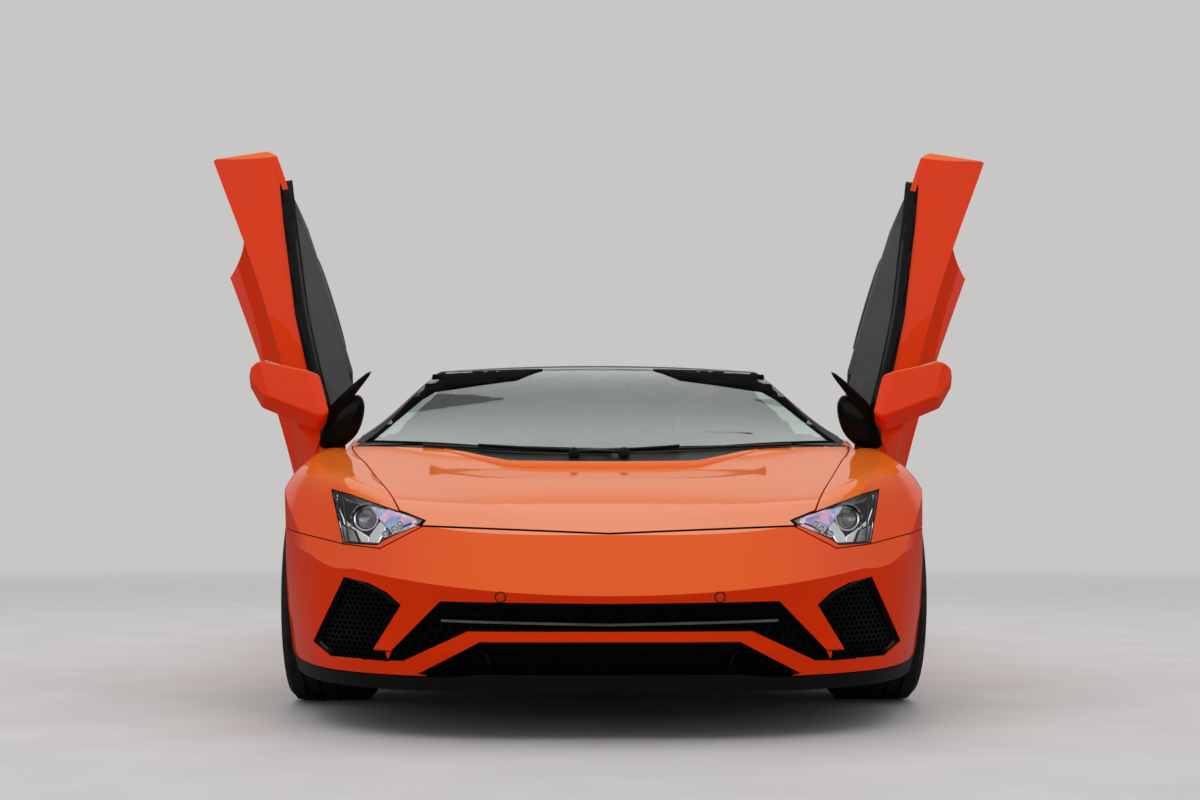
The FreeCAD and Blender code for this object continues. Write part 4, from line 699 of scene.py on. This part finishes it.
# Line: across, behind the axle, share of the full height. Section: back, up, and rise at the full height
hoodLip = {
    "line": [(0, 16, 1), (60, 16, 1), (120, 17, 1), (180, 18, 1), (225, 19, 1), (262, 24, 0.95), (300, 38, 0.9),
        (345, 88, 0.8), (395, 142, 0.7), (440, 192, 0.6), (480, 238, 0.4), (515, 278, 0.2)],
    "section": ((-9, -2.2, 0), (-6, 0.6, 0), (4, 0, 7), (20, 2, 17), (25, 2, 18), (27, 0, 14), (12, 1.5, 0),
                (7, -1, 0)),
    "edge": (0, 12, 3),
}
wiperRuns = [{"pivot": (70, 176), "elbow": (-150, 196), "blade": [(-585, 318), (-400, 262), (-200, 222), (30, 208)]},
             {"pivot": (-90, 176), "elbow": (170, 214), "blade": [(60, 232), (250, 250), (450, 288), (625, 336)]}]
wiperShape = {"pivot": [(0, 19), (10, 18), (22, 13), (27, 8), (28, 0)], "bladeLift": 8, "lipLift": 3.5,
              "pivotLift": 16, "elbowLift": 18}


def glassTop(x, s, lift):
    place, normal = land(["windshield", "cowl"], "top", x, s)[:2]
    return place + normal * lift / 1000


def makeHoodLip():
    rings = []
    for x, s, tall in [(-x, s, tall) for x, s, tall in hoodLip["line"][:0:-1]] + hoodLip["line"]:
        edge = land(["hood"], "top", x, s - 12)[0] + shift(*hoodLip["edge"])
        rings.append([edge + shift(0, y, z + rise * tall) for y, z, rise in hoodLip["section"]])
    loftPiece("hood_lip", rings, "paint", "hood", sharp=50)


def makeGlassDetail():
    for side, sign in sides.items():
        for key in ("fritSide", "fritTop", "fritLow"):
            drapePiece(f"{key}_{side}", glassShapes[key], "top", "windshield", "void", sign, lift=0.2, thick=0.5,
                       step=60)
        rings = []
        for depth, grow in glassShapes["podLevels"]:
            outline = scaled(glassShapes["pod"], glassShapes["podMiddle"], grow, grow)
            rings.append([land(["windshield"], "top", u, v, sign)[0] - shift(0, 0, depth) for u, v in outline])
        loftPiece(f"sensor_pod_{side}", rings, "card")
    for i, run in enumerate(wiperRuns):
        blade, lip = ([glassTop(x, s, wiperShape[key]) for x, s in run["blade"]] for key in ("bladeLift", "lipLift"))
        wiper = wirePiece(f"wiper_blade_{i}", blade, 4, "seal")
        wirePiece(f"wiper_lip_{i}", lip, 2.2, "seal")
        arm = [glassTop(*run["pivot"], wiperShape["pivotLift"]), glassTop(*run["elbow"], wiperShape["elbowLift"])]
        wirePiece(f"wiper_arm_{i}", arm + [blade[1] + shift(0, 0, 9)], 5, "black_plastic")
        turnedPiece(f"wiper_pivot_{i}", glassTop(*run["pivot"], 4), Vector((0, -0.3, 1)), wiperShape["pivot"],
                    "black_plastic")
        if i == 0:
            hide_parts("wipers")


makeHoodLip()
makeGlassDetail()
print("made the glass detail")


# Doors: all but the pods and blades are given in the closed door's place and swung with it
doorShapes = {
    "podLevels": [(782, 868, 925, 20), (798, 840, 932, 28), (820, 814, 932, 33), (845, 797, 928, 34),
        (870, 787, 917, 34), (900, 780, 899, 31), (930, 778, 876, 26), (950, 784, 846, 20), (963, 797, 822, 10)],
    "blade": [(896, 336, 880, 15, 9), (880, 330, 904, 19, 10), (820, 316, 972, 14, 8), (748, 300, 1042, 4, 4)],
    "card": [(712, 452), (735, 352), (1360, 350), (1368, 440), (1378, 575), (1384, 690), (1380, 784), (1200, 796),
        (1000, 798), (760, 792), (712, 690)],
    "cardRear": [(712, 452), (735, 352), (1360, 350), (1372, 440), (1415, 575), (1500, 700), (1530, 776),
        (1300, 796), (1000, 798), (760, 792), (712, 690)],
    "cardSeam": [(716, 640), (900, 628), (1150, 640), (1300, 668), (1378, 720)],
    "cardLow": [(722, 470), (900, 462), (1150, 470), (1372, 500)],
    "pull": [(900, 700), (930, 716), (1090, 726), (1240, 712), (1268, 694)],
    "wires": {"cardSeam": (736.5, 2.2, "seal"), "cardLow": (736.5, 1.6, "thread"), "pull": (726, 8, "leather")},
    "speaker": (850, 440), "speakerFace": [(-6, 78), (2, 78), (4, 74), (1.5, 70), (2.5, 40), (3, 0)],
    "belt": [(872, 640, 806), (866, 810, 812), (853, 1000, 816), (826, 1180, 818), (801, 1350, 818),
        (772, 1520, 812)],
    "mirror": [(913, 718, 858), (1054, 799, 856), (1064, 803, 900), (1046, 799, 926), (919, 718, 934), (905, 718, 916)],
}


def podRing(level, low, high, depth):
    middle, half, centre = (low + high) / 2, (high - low) / 2, 370 - (level - 780) * 0.13
    return [(middle + half * math.copysign(abs(across) ** 0.6, across),
             centre + depth * math.copysign(abs(along) ** 0.7, along), level)
            for across, along in ovalOutline(0, 0, 1, 1, 14)]


def makeDoors():
    belt = doorShapes["belt"]
    for side, sign in sides.items():
        swing, body = doorSwing(sign), f"door_{side}"

        def closed(x, s, z):
            return swing @ spot(x * sign, s, z)

        def addLoft(name, rings, finish, bevel=0, segments=2):
            return loftPiece(f"{name}_{side}", rings, finish, body, bevel, segments)

        rings = [[spot(x * sign, s, z) for x, s, z in podRing(*level)] for level in doorShapes["podLevels"]]
        pod = smoothPiece(addLoft("door_pod", rings, "black_gloss"))
        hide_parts("door_sail_" + side)
        rings = []
        for x, s, z, wide, thin in doorShapes["blade"]:
            half = wide / 2
            section = ((-wide, 0), (-half, -thin), (half, -thin), (wide, 0), (half, thin), (-half, thin))
            rings.append([spot(x * sign, s, z) + shift(a * sign, b, a) for a, b in section])
        smoothPiece(addLoft("door_blade", rings, "black_gloss"))
        outline = [(x - 16, s) for x, s, z in belt] + [(x + 30, s) for x, s, z in belt[::-1]]
        drapePiece(f"door_belt_{side}", outline, "top", f"door_sail_{side}", "black_gloss", sign, lift=0.2, thick=2.5,
                   body=body, swing=swing)
        rear, front = doorShapes["cardRear"], doorShapes["card"]
        rings = [[closed(x, u, v) for u, v in outline] for x, outline in
                 ((792.4, rear), (762, rear), (746, front), (737, scaled(front, (1050, 580), 0.93, 0.88)))]
        card = addLoft("door_card", rings, "card", 9, 3)
        card.data.set_sharp_from_angle(angle=math.radians(60))
        for key, (x, radius, finish) in doorShapes["wires"].items():
            points = [closed(x, u, v) for u, v in doorShapes[key]]
            wirePiece(f"door_{key}_{side}", points, radius, finish, body)
        rings = [[closed(*corner) for corner in ((760, s, 786), (760, s, 797), (x - 8, s, z), (x - 8, s, z - 12))]
                 for x, s, z in belt[:-1]]
        addLoft("door_ledge", rings, "card")
        for lift, radius in ((0, 7), (-9, 4)):
            points = [closed(x - 6 + lift, s, z + lift * 0.5) for x, s, z in belt]
            wirePiece(f"door_seal_{-lift}_{side}", points, radius, "seal", body)
        inward = (closed(0, 0, 0) - closed(1, 0, 0)).normalized()
        turnedPiece(f"door_speaker_{side}", closed(737, *doorShapes["speaker"]), inward, doorShapes["speakerFace"],
                    "net", 40, body)
        corners = doorShapes["mirror"]
        rings = [[closed(x - (away - 2) * 0.46, s + away, z) for x, s, z in corners] for away in (-4, 2.5)]
        addLoft("mirror_glass", rings, "mirror", 1)
        rings = [[closed(985 + (x - 984) * 1.05, s + away, 894 + (z - 894) * 1.08) for x, s, z in corners]
                 for away in (-5, 0.5)]
        addLoft("mirror_rim", rings, "black_plastic", 1)


makeDoors()
print("made the doors' detail")


# Wheels: tyres with tread, rim lips, bolts and caps
treads = {"grooves": (-0.62, -0.22, 0.22, 0.62), "grooveHalf": 0.045, "deep": 7, "steps": 264, "lateral": 6,
          "seat": 0.93, "tread": 0.84, "crown": 1.9}
wheelParts = {
    "rings": {"rim_lip": (-2, 0, [(-10, -7), (-8, -1), (2, 1.6), (5, 0.4), (5, -2), (-1, -6), (-6, -9)], "bright"),
              "rim_bead": (0, 16, [(-5, -1), (0.8, -0.4), (0.8, 0.6), (-5, 1.4)], "seal")},
    "hub": {"hub_cap": ([(-8, 34), (1, 34), (4, 31), (4.5, 26), (3.2, 25), (3.6, 12), (4, 0)], "rim"),
            "hub_ring": ([(-4, 40), (1.5, 39.5), (2, 37), (1, 35), (-4, 35)], "bright")},
    "bolt": [(-10, 11), (-1, 11), (1, 10), (1, 7), (-3, 6), (-3, 0)], "bolts": 5, "boltCircle": 56,
    "valve": [(-14, 4), (14, 4), (15, 5), (28, 5), (30, 3), (30, 0)], "hubShare": 0.97, "steps": 96,
}


def wheelSpot(wheel, sign, x, r, turn=0.0):
    return spot((wheel["x"] + x) * sign, wheel["s"] + math.cos(turn) * r, wheel["radius"] + math.sin(turn) * r)


def tyreProfile(wheel):
    half, radius, bead = wheel["width"] / 2, wheel["radius"], wheel["bead"]
    seat, tread, tall = half * treads["seat"], half * treads["tread"], radius - bead
    wall = [(-seat + 3, bead + 0.6), (-seat, bead + 3), (-seat - 1, bead + tall * 0.12),
            (-half + 3, bead + tall * 0.22), (-half + 0.6, bead + tall * 0.42), (-half + 0.6, bead + tall * 0.56),
            (-half + 3, radius - tall * 0.28), (-tread - 3, radius - tall * 0.09), (-tread, radius - 2.4)]
    top, edge = [], treads["grooveHalf"] * tread
    middles = dict(zip(treads["grooves"], (-0.4, 0.0, 0.44)))
    for share in treads["grooves"]:
        for offset, sunk in ((-edge * 1.15, 0), (-edge * 0.9, 1), (edge * 0.9, 1), (edge * 1.15, 0)):
            x = share * tread + offset
            top.append((x, radius - 0.4 - treads["crown"] * (x / tread) ** 4 - sunk * treads["deep"]))
        if share in middles:
            x = middles[share] * tread
            top.append((x, radius - 0.3 - treads["crown"] * (x / tread) ** 4))
    return wall + top + [(-x, r) for x, r in wall[::-1]]


def makeTyre(name, sign, wheel):
    profile, steps, tread = tyreProfile(wheel), treads["steps"], wheel["width"] / 2 * treads["tread"]
    rings = []
    for i in range(steps):
        ring = []
        for x, r in profile:
            share = abs(x / tread)
            if share <= 1.02 and r > wheel["radius"] - 6:
                stagger = int(share * 7)
                if share > 0.68 and (i + stagger) % treads["lateral"] < 1:
                    r -= 5
                elif 0.3 < share < 0.56 and (i + stagger * 2) % (treads["lateral"] * 2) < 1:
                    r -= 4
            ring.append(wheelSpot(wheel, sign, x, r, math.tau * i / steps))
        rings.append(ring)
    tyre = loftPiece(f"tyre_detail_{name}", rings, "tyre", f"wheel_{name}", looped=True, sharp=28)
    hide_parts("tyre_" + name)


def makeWheels():
    for place, wheel in wheels.items():
        face, steps = wheel["width"] / 2 * treads["seat"], wheelParts["steps"]
        hub = face * wheelParts["hubShare"]
        for side, sign in sides.items():
            name, axis = f"{place}_{side}", Vector((sign, 0, 0))
            body = f"wheel_{name}"
            makeTyre(name, sign, wheel)
            for key, (x, r, outline, finish) in wheelParts["rings"].items():
                rings = [[wheelSpot(wheel, sign, face + x + a, wheel["bead"] + r + b, math.tau * i / steps)
                          for a, b in outline] for i in range(steps)]
                loftPiece(f"{key}_{name}", rings, finish, body, looped=True, sharp=30)
            for key, (profile, finish) in wheelParts["hub"].items():
                turnedPiece(f"{key}_{name}", wheelSpot(wheel, sign, hub, 0), axis, profile, finish, 48, body)
            for i in range(wheelParts["bolts"]):
                turn = math.tau * (i + 0.5) / wheelParts["bolts"]
                centre = wheelSpot(wheel, sign, hub, wheelParts["boltCircle"], turn)
                turnedPiece(f"bolt_{i}_{name}", centre, axis, wheelParts["bolt"], "bright", 6, body)
            turnedPiece(f"valve_{name}", wheelSpot(wheel, sign, face * 0.8, wheel["bead"] * 0.84, math.pi / 2),
                        Vector((sign * 0.8, 0, -0.6)), wheelParts["valve"], "seal", 12, body)


makeWheels()
print("made the wheels")


# Cabin: seats as padded pieces, shells, belts, wheel, dash and console
# Seat path: behind the axle, up, how high the bolsters stand, how wide
seatPath = [(902, 322, 0, 0.86), (912, 352, 0.6, 0.95), (985, 358, 1, 1), (1110, 346, 1, 1), (1235, 334, 1, 1),
    (1318, 346, 0.9, 1), (1366, 402, 0.8, 0.98), (1410, 500, 1, 0.98), (1456, 610, 1, 0.97), (1500, 715, 1, 0.94),
    (1540, 805, 0.8, 0.86), (1566, 862, 0.3, 0.62), (1600, 918, 0.25, 0.56), (1632, 950, 0.1, 0.46)]
seatShape = {
    "half": 268, "bolster": 62, "centre": 400, "drop": 6, "seams": (0.2, 0.53), "rise": (0.56, 0.32),
    "pads": [0.0, 0.17, 0.2, 0.23, 0.5, 0.53, 0.56, 0.66, 0.8, 0.92, 1.0],
    "shell": [(918, 168), (906, 262), (1290, 244), (1420, 330), (1655, 905), (1668, 900), (1480, 290), (1462, 168)],
    "strap": [(638, 1598, 880), (596, 1470, 740), (520, 1400, 560), (340, 1330, 420), (164, 1300, 350)],
    "buckle": [(1296, 330), (1330, 336), (1322, 412), (1296, 408)],
}


def sweepRings(path, section, sign):
    return [[spot(x * sign, s, z) + shift(a * sign, b, c) for a, b, c in section] for x, s, z in path]


def seatHeight(share, lift):
    rise = max(0.0, (share - seatShape["rise"][0]) / seatShape["rise"][1])
    height = seatShape["bolster"] * lift * math.sin(min(rise, 1.0) * math.pi / 2) ** 2
    if share > 0.9:
        height -= (share - 0.9) * 240 * max(lift, 0.3)
    return height - (seatShape["drop"] if any(abs(share - seam) < 0.01 for seam in seatShape["seams"]) else 0)


def seatRings(sign, stops, thick):
    shares = [-share for share in seatShape["pads"][:0:-1]] + seatShape["pads"]
    rings = []
    for i, (s, z, lift, wide) in enumerate(stops):
        before, after = stops[max(i - 1, 0)], stops[min(i + 1, len(stops) - 1)]
        along = Vector((after[0] - before[0], after[1] - before[1])).normalized()
        groove = 5 if i in (2, 4, 7, 9) else 0
        ring = [(share, seatHeight(abs(share), lift) - (groove if abs(share) < 0.5 else 0)) for share in shares]
        ring += [(share, -thick) for share in (0.94, 0.5, -0.5, -0.94)]
        rings.append([spot((seatShape["centre"] + share * seatShape["half"] * wide) * sign, s - along.y * up,
                           z + along.x * up) for share, up in ring])
    return rings


def makeSeats():
    middle = len(seatShape["pads"]) - 1
    for side, sign in sides.items():
        for part, stops, thick in (("cushion", seatPath[:6], 96), ("back", seatPath[6:], 62)):
            rings = seatRings(sign, stops, thick)
            pad = smoothPiece(loftPiece(f"seat_{part}_{side}", rings, "suede"))
            if part == "cushion":
                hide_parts("seats")
            for step in (4, -4, 6, -6):
                seam = [ring[middle + step] for ring in rings]
                wirePiece(f"seat_seam_{part}_{step + 6}_{side}", seam, 1.8, "thread")
        rings = [[spot((400 + x) * sign, s, z) for s, z in scaled(seatShape["shell"], (1290, 0), grow, 1)]
                 for x, grow in ((-236, 0.97), (-222, 1.0), (222, 1.0), (236, 0.97))]
        loftPiece(f"seat_shell_{side}", rings, "black_gloss", bevel=6)
        for x in (-190, 190):
            prismPiece(f"seat_rail_{x}_{side}", boxOutline(940, 152, 1440, 170), "side", 384 + x, 416 + x,
                       "aluminium", sign)
        section = ((-22, -1, 0), (22, -1, 0), (22, 1, 0), (-22, 1, 0))
        loftPiece(f"seat_strap_{side}", sweepRings(seatShape["strap"], section, sign), "webbing")
        prismPiece(f"seat_buckle_{side}", seatShape["buckle"], "side", 140, 158, "seal", sign, bevel=3)


cabin = {
    "cluster": [(344, 768), (200, 764), (154, 806), (190, 844), (510, 844), (546, 806), (500, 764), (356, 768)],
    "screen": [(245.8, 774), (218.8, 804), (238.6, 828), (501.4, 828), (521.2, 804), (494.2, 774)],
    "gauges": [(370, 62), (480, 34), (260, 34)], "vents": [(150, 770), (600, 750)],
    "edge": [(764, 648), (764, 664), (806, 634), (984, 452), (1112, 428), (1112, 420), (978, 444), (800, 624)],
    "console": [(764, 344), (764, 660), (800, 628), (980, 446), (1110, 424), (1400, 420), (1430, 344)],
    "armPad": [(1120, 418), (1400, 414), (1412, 440), (1396, 456), (1130, 456), (1112, 440)],
    "startRing": [(-6, 30), (3, 30), (5, 26), (3, 22), (-4, 22)], "startButton": [(-6, 20), (4, 20), (6, 16), (6, 0)],
    "hub": (370, 845, 690), "wheelTilt": 22, "wheelPad": [(-20, 50), (4, 66), (16, 60), (22, 40), (24, 0)],
    "paddle": [(70, -30), (112, -50), (126, 20), (118, 74), (96, 60), (84, 10)],
    "wheelKey": [(-6, 8), (2, 8), (3, 6), (3, 0)], "pedals": [(230, 292, 300), (330, 376, 360)],
    "mirror": [(-118, 1034), (-108, 1058), (108, 1058), (118, 1034), (106, 1002), (-106, 1002)],
}


# A plate on the sloping console, from one corner to the other: across, and share of the slope
def consolePlate(name, low, high, lift, finish, bevel):
    rings = [[spot(x, 800 + 180 * share + level * 0.71, 628 - 182 * share + level * 0.7)
              for x, share in boxOutline(*low, *high)] for level in (-1, lift)]
    loftPiece(name, rings, finish, bevel=bevel)


def makeDash():
    prismPiece("cluster_hood", cabin["cluster"], "front", 470, 742, "leather", bevel=12)
    prismPiece("cluster_screen", cabin["screen"], "front", 740, 748, "screen")
    for i, (x, r) in enumerate(cabin["gauges"]):
        profile = [(-1, r * 0.62), (2, r * 0.62), (2.4, r * 0.58), (1, r * 0.56), (1, r * 0.5)]
        turnedPiece(f"gauge_{i}", spot(x, 748, 801), Vector((0, 1, 0)), profile, "amber", 40)
    for side, sign in sides.items():
        for i, (x, z) in enumerate(cabin["vents"]):
            front = 772 - i * 20
            prismPiece(f"vent_rim_{i}_{side}", ovalOutline(x, z, 46, 34, 6), "front", 690, front, "black_gloss",
                       sign, bevel=3)
            for j in range(-2, 3):
                half, low = 34 - abs(j) * 5, z - 2 + j * 10
                prismPiece(f"vent_bar_{i}_{j + 2}_{side}", boxOutline(x - half, low, x + half, low + 3), "front",
                           front - 2, front + 4, "bright", sign, bevel=0.6)
        prismPiece(f"console_edge_{side}", cabin["edge"], "side", 106, 116, "carbon", sign, bevel=2)


def makeConsole():
    prismPiece("console", cabin["console"], "side", -106, 106, "leather", bevel=10)
    consolePlate("console_screen", (-92, 0.06), (92, 0.5), 5, "screen", 2)
    for row, finish in enumerate(("seal", "bright")):
        for column in range(5):
            x, share = -72 + column * 36, 0.6 + row * 0.15
            consolePlate(f"console_key_{row}_{column}", (x - 14, share), (x + 14, share + 0.1), 4, finish, 1.5)
    start, up = spot(0, 1010, 446), Vector((0, -0.2, 1))
    turnedPiece("start_ring", start, up, cabin["startRing"], "bright", 36)
    turnedPiece("start_button", start, up, cabin["startButton"], "brightRed", 6)
    prismPiece("arm_pad", cabin["armPad"], "side", -92, 92, "suede", bevel=12)


def makeWheelAndPedals():
    tilt = math.radians(cabin["wheelTilt"])
    axis, hub = Vector((0, math.cos(tilt), math.sin(tilt))), spot(*cabin["hub"])

    def onWheel(x, up, out):
        return hub + axis * out + shift(x, 0, 0) + Vector((0, -axis.z, axis.y)) * up * 0.001

    turnedPiece("wheel_pad", onWheel(0, 0, -0.012), axis, cabin["wheelPad"], "leather", 8)
    for side, sign in sides.items():
        rings = [[onWheel(x * sign, z, out) for x, z in cabin["paddle"]] for out in (-0.03, -0.026)]
        loftPiece(f"shift_paddle_{side}", rings, "bright", bevel=1)
        for i in range(3):
            place = onWheel(sign * (76 + i * 2), 24 - i * 20, 0.012)
            turnedPiece(f"wheel_key_{i}_{side}", place, axis, cabin["wheelKey"], "seal", 16)
    for i, (low, high, top) in enumerate(cabin["pedals"]):
        prismPiece(f"pedal_{i}", boxOutline(low, 220, high, top), "front", 474, 482, "bright", bevel=3)
    prismPiece("cabin_mirror", cabin["mirror"], "front", 1080, 1094, "seal", bevel=5)
    prismPiece("cabin_mirror_glass", scaled(cabin["mirror"], (0, 1031), 0.93, 0.86), "front", 1094, 1097, "mirror")


makeSeats()
makeDash()
makeConsole()
makeWheelAndPedals()
print("made the cabin")


# Rear: lamp elements, mesh, pipes, reflectors; side intakes
rear = {
    "lampCentres": [(500, 736), (640, 736), (778, 734)],
    "yArms": [[(-4, 4), (-50, 26), (-56, 17), (-10, -6)], [(4, 4), (50, 26), (56, 17), (10, -6)], [(-6, 2), (6, 2),
        (5, -34), (-5, -34)]],
    "mesh": [(0, 676), (418, 681), (684, 657), (784, 598), (765, 454), (517, 404), (0, 404)],
    "reflector": [(800, 410), (880, 424), (884, 444), (798, 430)],
    "pipes": (-101.5, 0, 101.5), "band": [(-46, 54), (-44, 57), (-30, 57), (-28, 54.5)],
    "tip": [(-70, 50), (-2, 55), (4, 54.5), (6, 51), (4, 47.5), (-60, 45), (-60, 0)],
    "sideNet": [(1450, 560), (1420, 450), (1440, 330), (1740, 330), (1760, 430), (1786, 600), (1796, 750),
        (1620, 756), (1545, 690)],
    "sideSlats": [[(1500, 380), (1752, 400), (1754, 412), (1498, 392)], [(1500, 470), (1768, 500), (1770, 512),
        (1500, 482)], [(1540, 570), (1778, 610), (1780, 622), (1542, 582)]],
    "fuel": (2030, 690, 66),
}


def makeRear():
    for side, sign in sides.items():
        for i, (x, z) in enumerate(rear["lampCentres"]):
            for j, arm in enumerate(rear["yArms"]):
                drapePiece(f"tail_y_{i}_{j}_{side}", [(x + a, z + b) for a, b in arm], "back", "tail_lights",
                           "brightRed", sign, lift=0.5, thick=4, step=40)
        netPiece(f"rear_net_{side}", rear["mesh"], "back", "rear_grille", ["rear_bumper", "diffuser", "exhaust"], sign,
                 cell=34, wire=3.4, deep=9)
        drapePiece(f"rear_reflector_{side}", rear["reflector"], "back", "rear_bumper", "brightRed", sign, lift=0.5,
                   thick=3)
        netPiece(f"side_net_{side}", rear["sideNet"], "side", "side_intakes", ["quarters", "side_skirts"], sign,
                 cell=26, wire=2.6, deep=5)
        for i, slat in enumerate(rear["sideSlats"]):
            drapePiece(f"side_slat_{i}_{side}", slat, "side", "side_intakes", "black_gloss", sign, lift=6,
                       thick=22)
    for i, x in enumerate(rear["pipes"]):
        for key, finish in (("tip", "bright"), ("band", "steel")):
            turnedPiece(f"pipe_{key}_{i}", spot(x, 3672, 330), Vector((0, 1, 0)), rear[key], finish, 48)
    s, z, radius = rear["fuel"]
    for key, r, finish, lift, thick in (("seam", radius, "seal", 0.2, 0.6), ("cap", radius - 3, "paint", 0.5, 1.4)):
        drapePiece(f"fuel_{key}", ovalOutline(s, z, r, r, 40), "side", "quarters", finish, -1, lift, thick, step=24)


makeRear()
print("made the rear")


# Engine dressing on its plain block
engine = {
    "plenum": [(-92, -34), (-96, 10), (-60, 42), (40, 46), (92, 14), (96, -34)], "plenumCentre": (210, 775),
    "plenumEnds": ((1950, 0.9), (1975, 1.0), (2520, 1.0), (2545, 0.9)),
    "rib": [(130, 812), (152, 823), (248, 827), (296, 800), (296, 794), (246, 821), (152, 817), (130, 806)],
    "runner": ((122, 778), (60, 792), (20, 770), (12, 742)),
    "hose": ((300, 2560, 760), (306, 2650, 790), (240, 2740, 770), (180, 2800, 700), (170, 2820, 600)),
    "brace": ((40, 2040, 846), (180, 2330, 846), (330, 2640, 838)),
    "cap": [(-4, 34), (14, 34), (18, 30), (18, 8), (22, 8), (22, 0)],
}


def makeEngine():
    x0, z0 = engine["plenumCentre"]
    for side, sign in sides.items():
        rings = [[spot((x0 + x * grow) * sign, s, z0 + z * grow) for x, z in engine["plenum"]]
                 for s, grow in engine["plenumEnds"]]
        loftPiece(f"engine_plenum_{side}", rings, "plenum", bevel=8, segments=3)
        for i in range(9):
            s = 1990 + i * 64
            prismPiece(f"plenum_rib_{i}_{side}", engine["rib"], "front", s, s + 8, "plenum", sign, bevel=1)
        for i in range(6):
            points = [spot(x * sign, 2010 + i * 92, z) for x, z in engine["runner"]]
            wirePiece(f"runner_{i}_{side}", points, 19, "aluminium")
        wirePiece(f"hose_{side}", [spot(x * sign, s, z) for x, s, z in engine["hose"]], 22, "seal")
        section = ((-16, 0, -7), (16, 0, -7), (16, 0, 7), (-16, 0, 7))
        loftPiece(f"brace_{side}", sweepRings(engine["brace"], section, sign), "carbon", bevel=3)
        turnedPiece(f"filler_cap_{side}", spot(255 * sign, 2610, 764), Vector((0, 0, 1)), engine["cap"], "seal", 12)


makeEngine()
print("made the engine's dressing")


# Camera, floor and light
view = {"place": (-0.0983, -7.2685, 0.581), "towards": (0.0148, 1.0, 0.0574), "lens": 57.8}
backdrop = {"colour": (1.0, 0.985, 0.965), "strength": 0.58, "unseen": 0.36,
            "sky": [(0.04, 0.10), (0.2, 0.78), (0.38, 0.92), (0.45, 0.30), (0.58, 0.42), (0.85, 0.25)]}
ground = {"half": 60.0, "tones": [(0.3, (0.70, 0.70, 0.70)), (0.7, (0.76, 0.76, 0.76))], "mirrored": (0.2, 0.2, 0.2),
          "fadeFrom": 4.0, "fadeTo": 13.0}
lamps = {"topLamp": ((0, -0.5, 7.0), (0, 0, 0.5), (11.0, 11.0), 345),
         "frontLamp": ((-1.0, -11.0, 1.8), (0, -1.0, 0.3), (9.0, 2.0), 75),
         "leftLamp": ((9.0, 0.5, 5.0), (0, 0.2, 0.5), (3.0, 9.0), 70),
         "rightLamp": ((-9.0, 0.5, 5.0), (0, 0.2, 0.5), (3.0, 9.0), 70),
         "backLamp": ((0.5, 9.5, 8.0), (0, 1.5, 0.5), (9.0, 4.0), 90)}


def aimObject(name, data, place, towards):
    aimed = putObject(name, data)
    aimed.location = place
    aimed.rotation_euler = Vector(towards).to_track_quat("-Z", "Y").to_euler()
    return aimed


def makeCamera():
    data = bpy.data.cameras.new("camera")
    data.lens = view["lens"]
    bpy.context.scene.camera = aimObject("camera", data, view["place"], view["towards"])


def seenRays(tree, path):
    return mathNode(tree, "MAXIMUM", path.outputs["Is Camera Ray"], path.outputs["Is Transmission Ray"])


def makeFloor():
    mesh = bpy.data.meshes.new("floor")
    corners = boxOutline(-ground["half"], -ground["half"], ground["half"], ground["half"])
    mesh.from_pydata([(x, y, 0) for x, y in corners], [], [(0, 1, 2, 3)])
    floor = putObject("floor", mesh)
    made, tree = newTree("floorPale")
    path = addNode(tree, "ShaderNodeLightPath")
    base = rampNode(tree, noiseNode(tree, objectPlace(tree), 3, 4), ground["tones"])
    base = mixColour(tree, path.outputs["Is Glossy Ray"], base, ground["mirrored"])
    pale = addNode(tree, "ShaderNodeBsdfPrincipled", {"Base Color": base, "Roughness": 0.6, "Specular IOR Level": 0.2})
    far = addNode(tree, "ShaderNodeVectorMath", {0: objectPlace(tree)}, operation="LENGTH")
    fade = rangeNode(tree, far.outputs["Value"], 0.0, 1.0, ground["fadeFrom"], ground["fadeTo"])
    glow = addNode(tree, "ShaderNodeEmission", {"Color": (*backdrop["colour"], 1), "Strength": backdrop["strength"]})
    share = mathNode(tree, "MULTIPLY", fade, seenRays(tree, path))
    mixed = addNode(tree, "ShaderNodeMixShader", {0: share, 1: pale.outputs[0], 2: glow.outputs[0]})
    addNode(tree, "ShaderNodeOutputMaterial", {"Surface": mixed.outputs[0]})
    mesh.materials.append(made)


def makeLight():
    world = bpy.data.worlds.new("world")
    bpy.context.scene.world = world
    world.use_nodes = True
    tree = world.node_tree
    tree.nodes.clear()
    path = addNode(tree, "ShaderNodeLightPath")
    height = splitNode(tree, addNode(tree, "ShaderNodeTexCoord").outputs["Generated"])["Z"]
    sky = rampNode(tree, height, [(place, (tone,) * 3) for place, tone in backdrop["sky"]])
    inputs = {0: path.outputs["Is Glossy Ray"], 2: backdrop["unseen"], 3: sky}
    unseen = addNode(tree, "ShaderNodeMix", inputs).outputs[0]
    strength = addNode(tree, "ShaderNodeMix", {0: seenRays(tree, path), 2: unseen, 3: backdrop["strength"]}).outputs[0]
    background = addNode(tree, "ShaderNodeBackground", {"Color": (*backdrop["colour"], 1), "Strength": strength})
    addNode(tree, "ShaderNodeOutputWorld", {"Surface": background.outputs[0]})
    for name, (place, target, size, power) in lamps.items():
        data = bpy.data.lights.new(name, "AREA")
        data.shape, data.energy = "RECTANGLE", power
        data.size, data.size_y = size
        aimObject(name, data, place, Vector(target) - Vector(place)).visible_camera = False


makeCamera()
makeFloor()
makeLight()
bpy.context.scene.view_settings.view_transform = "Standard"
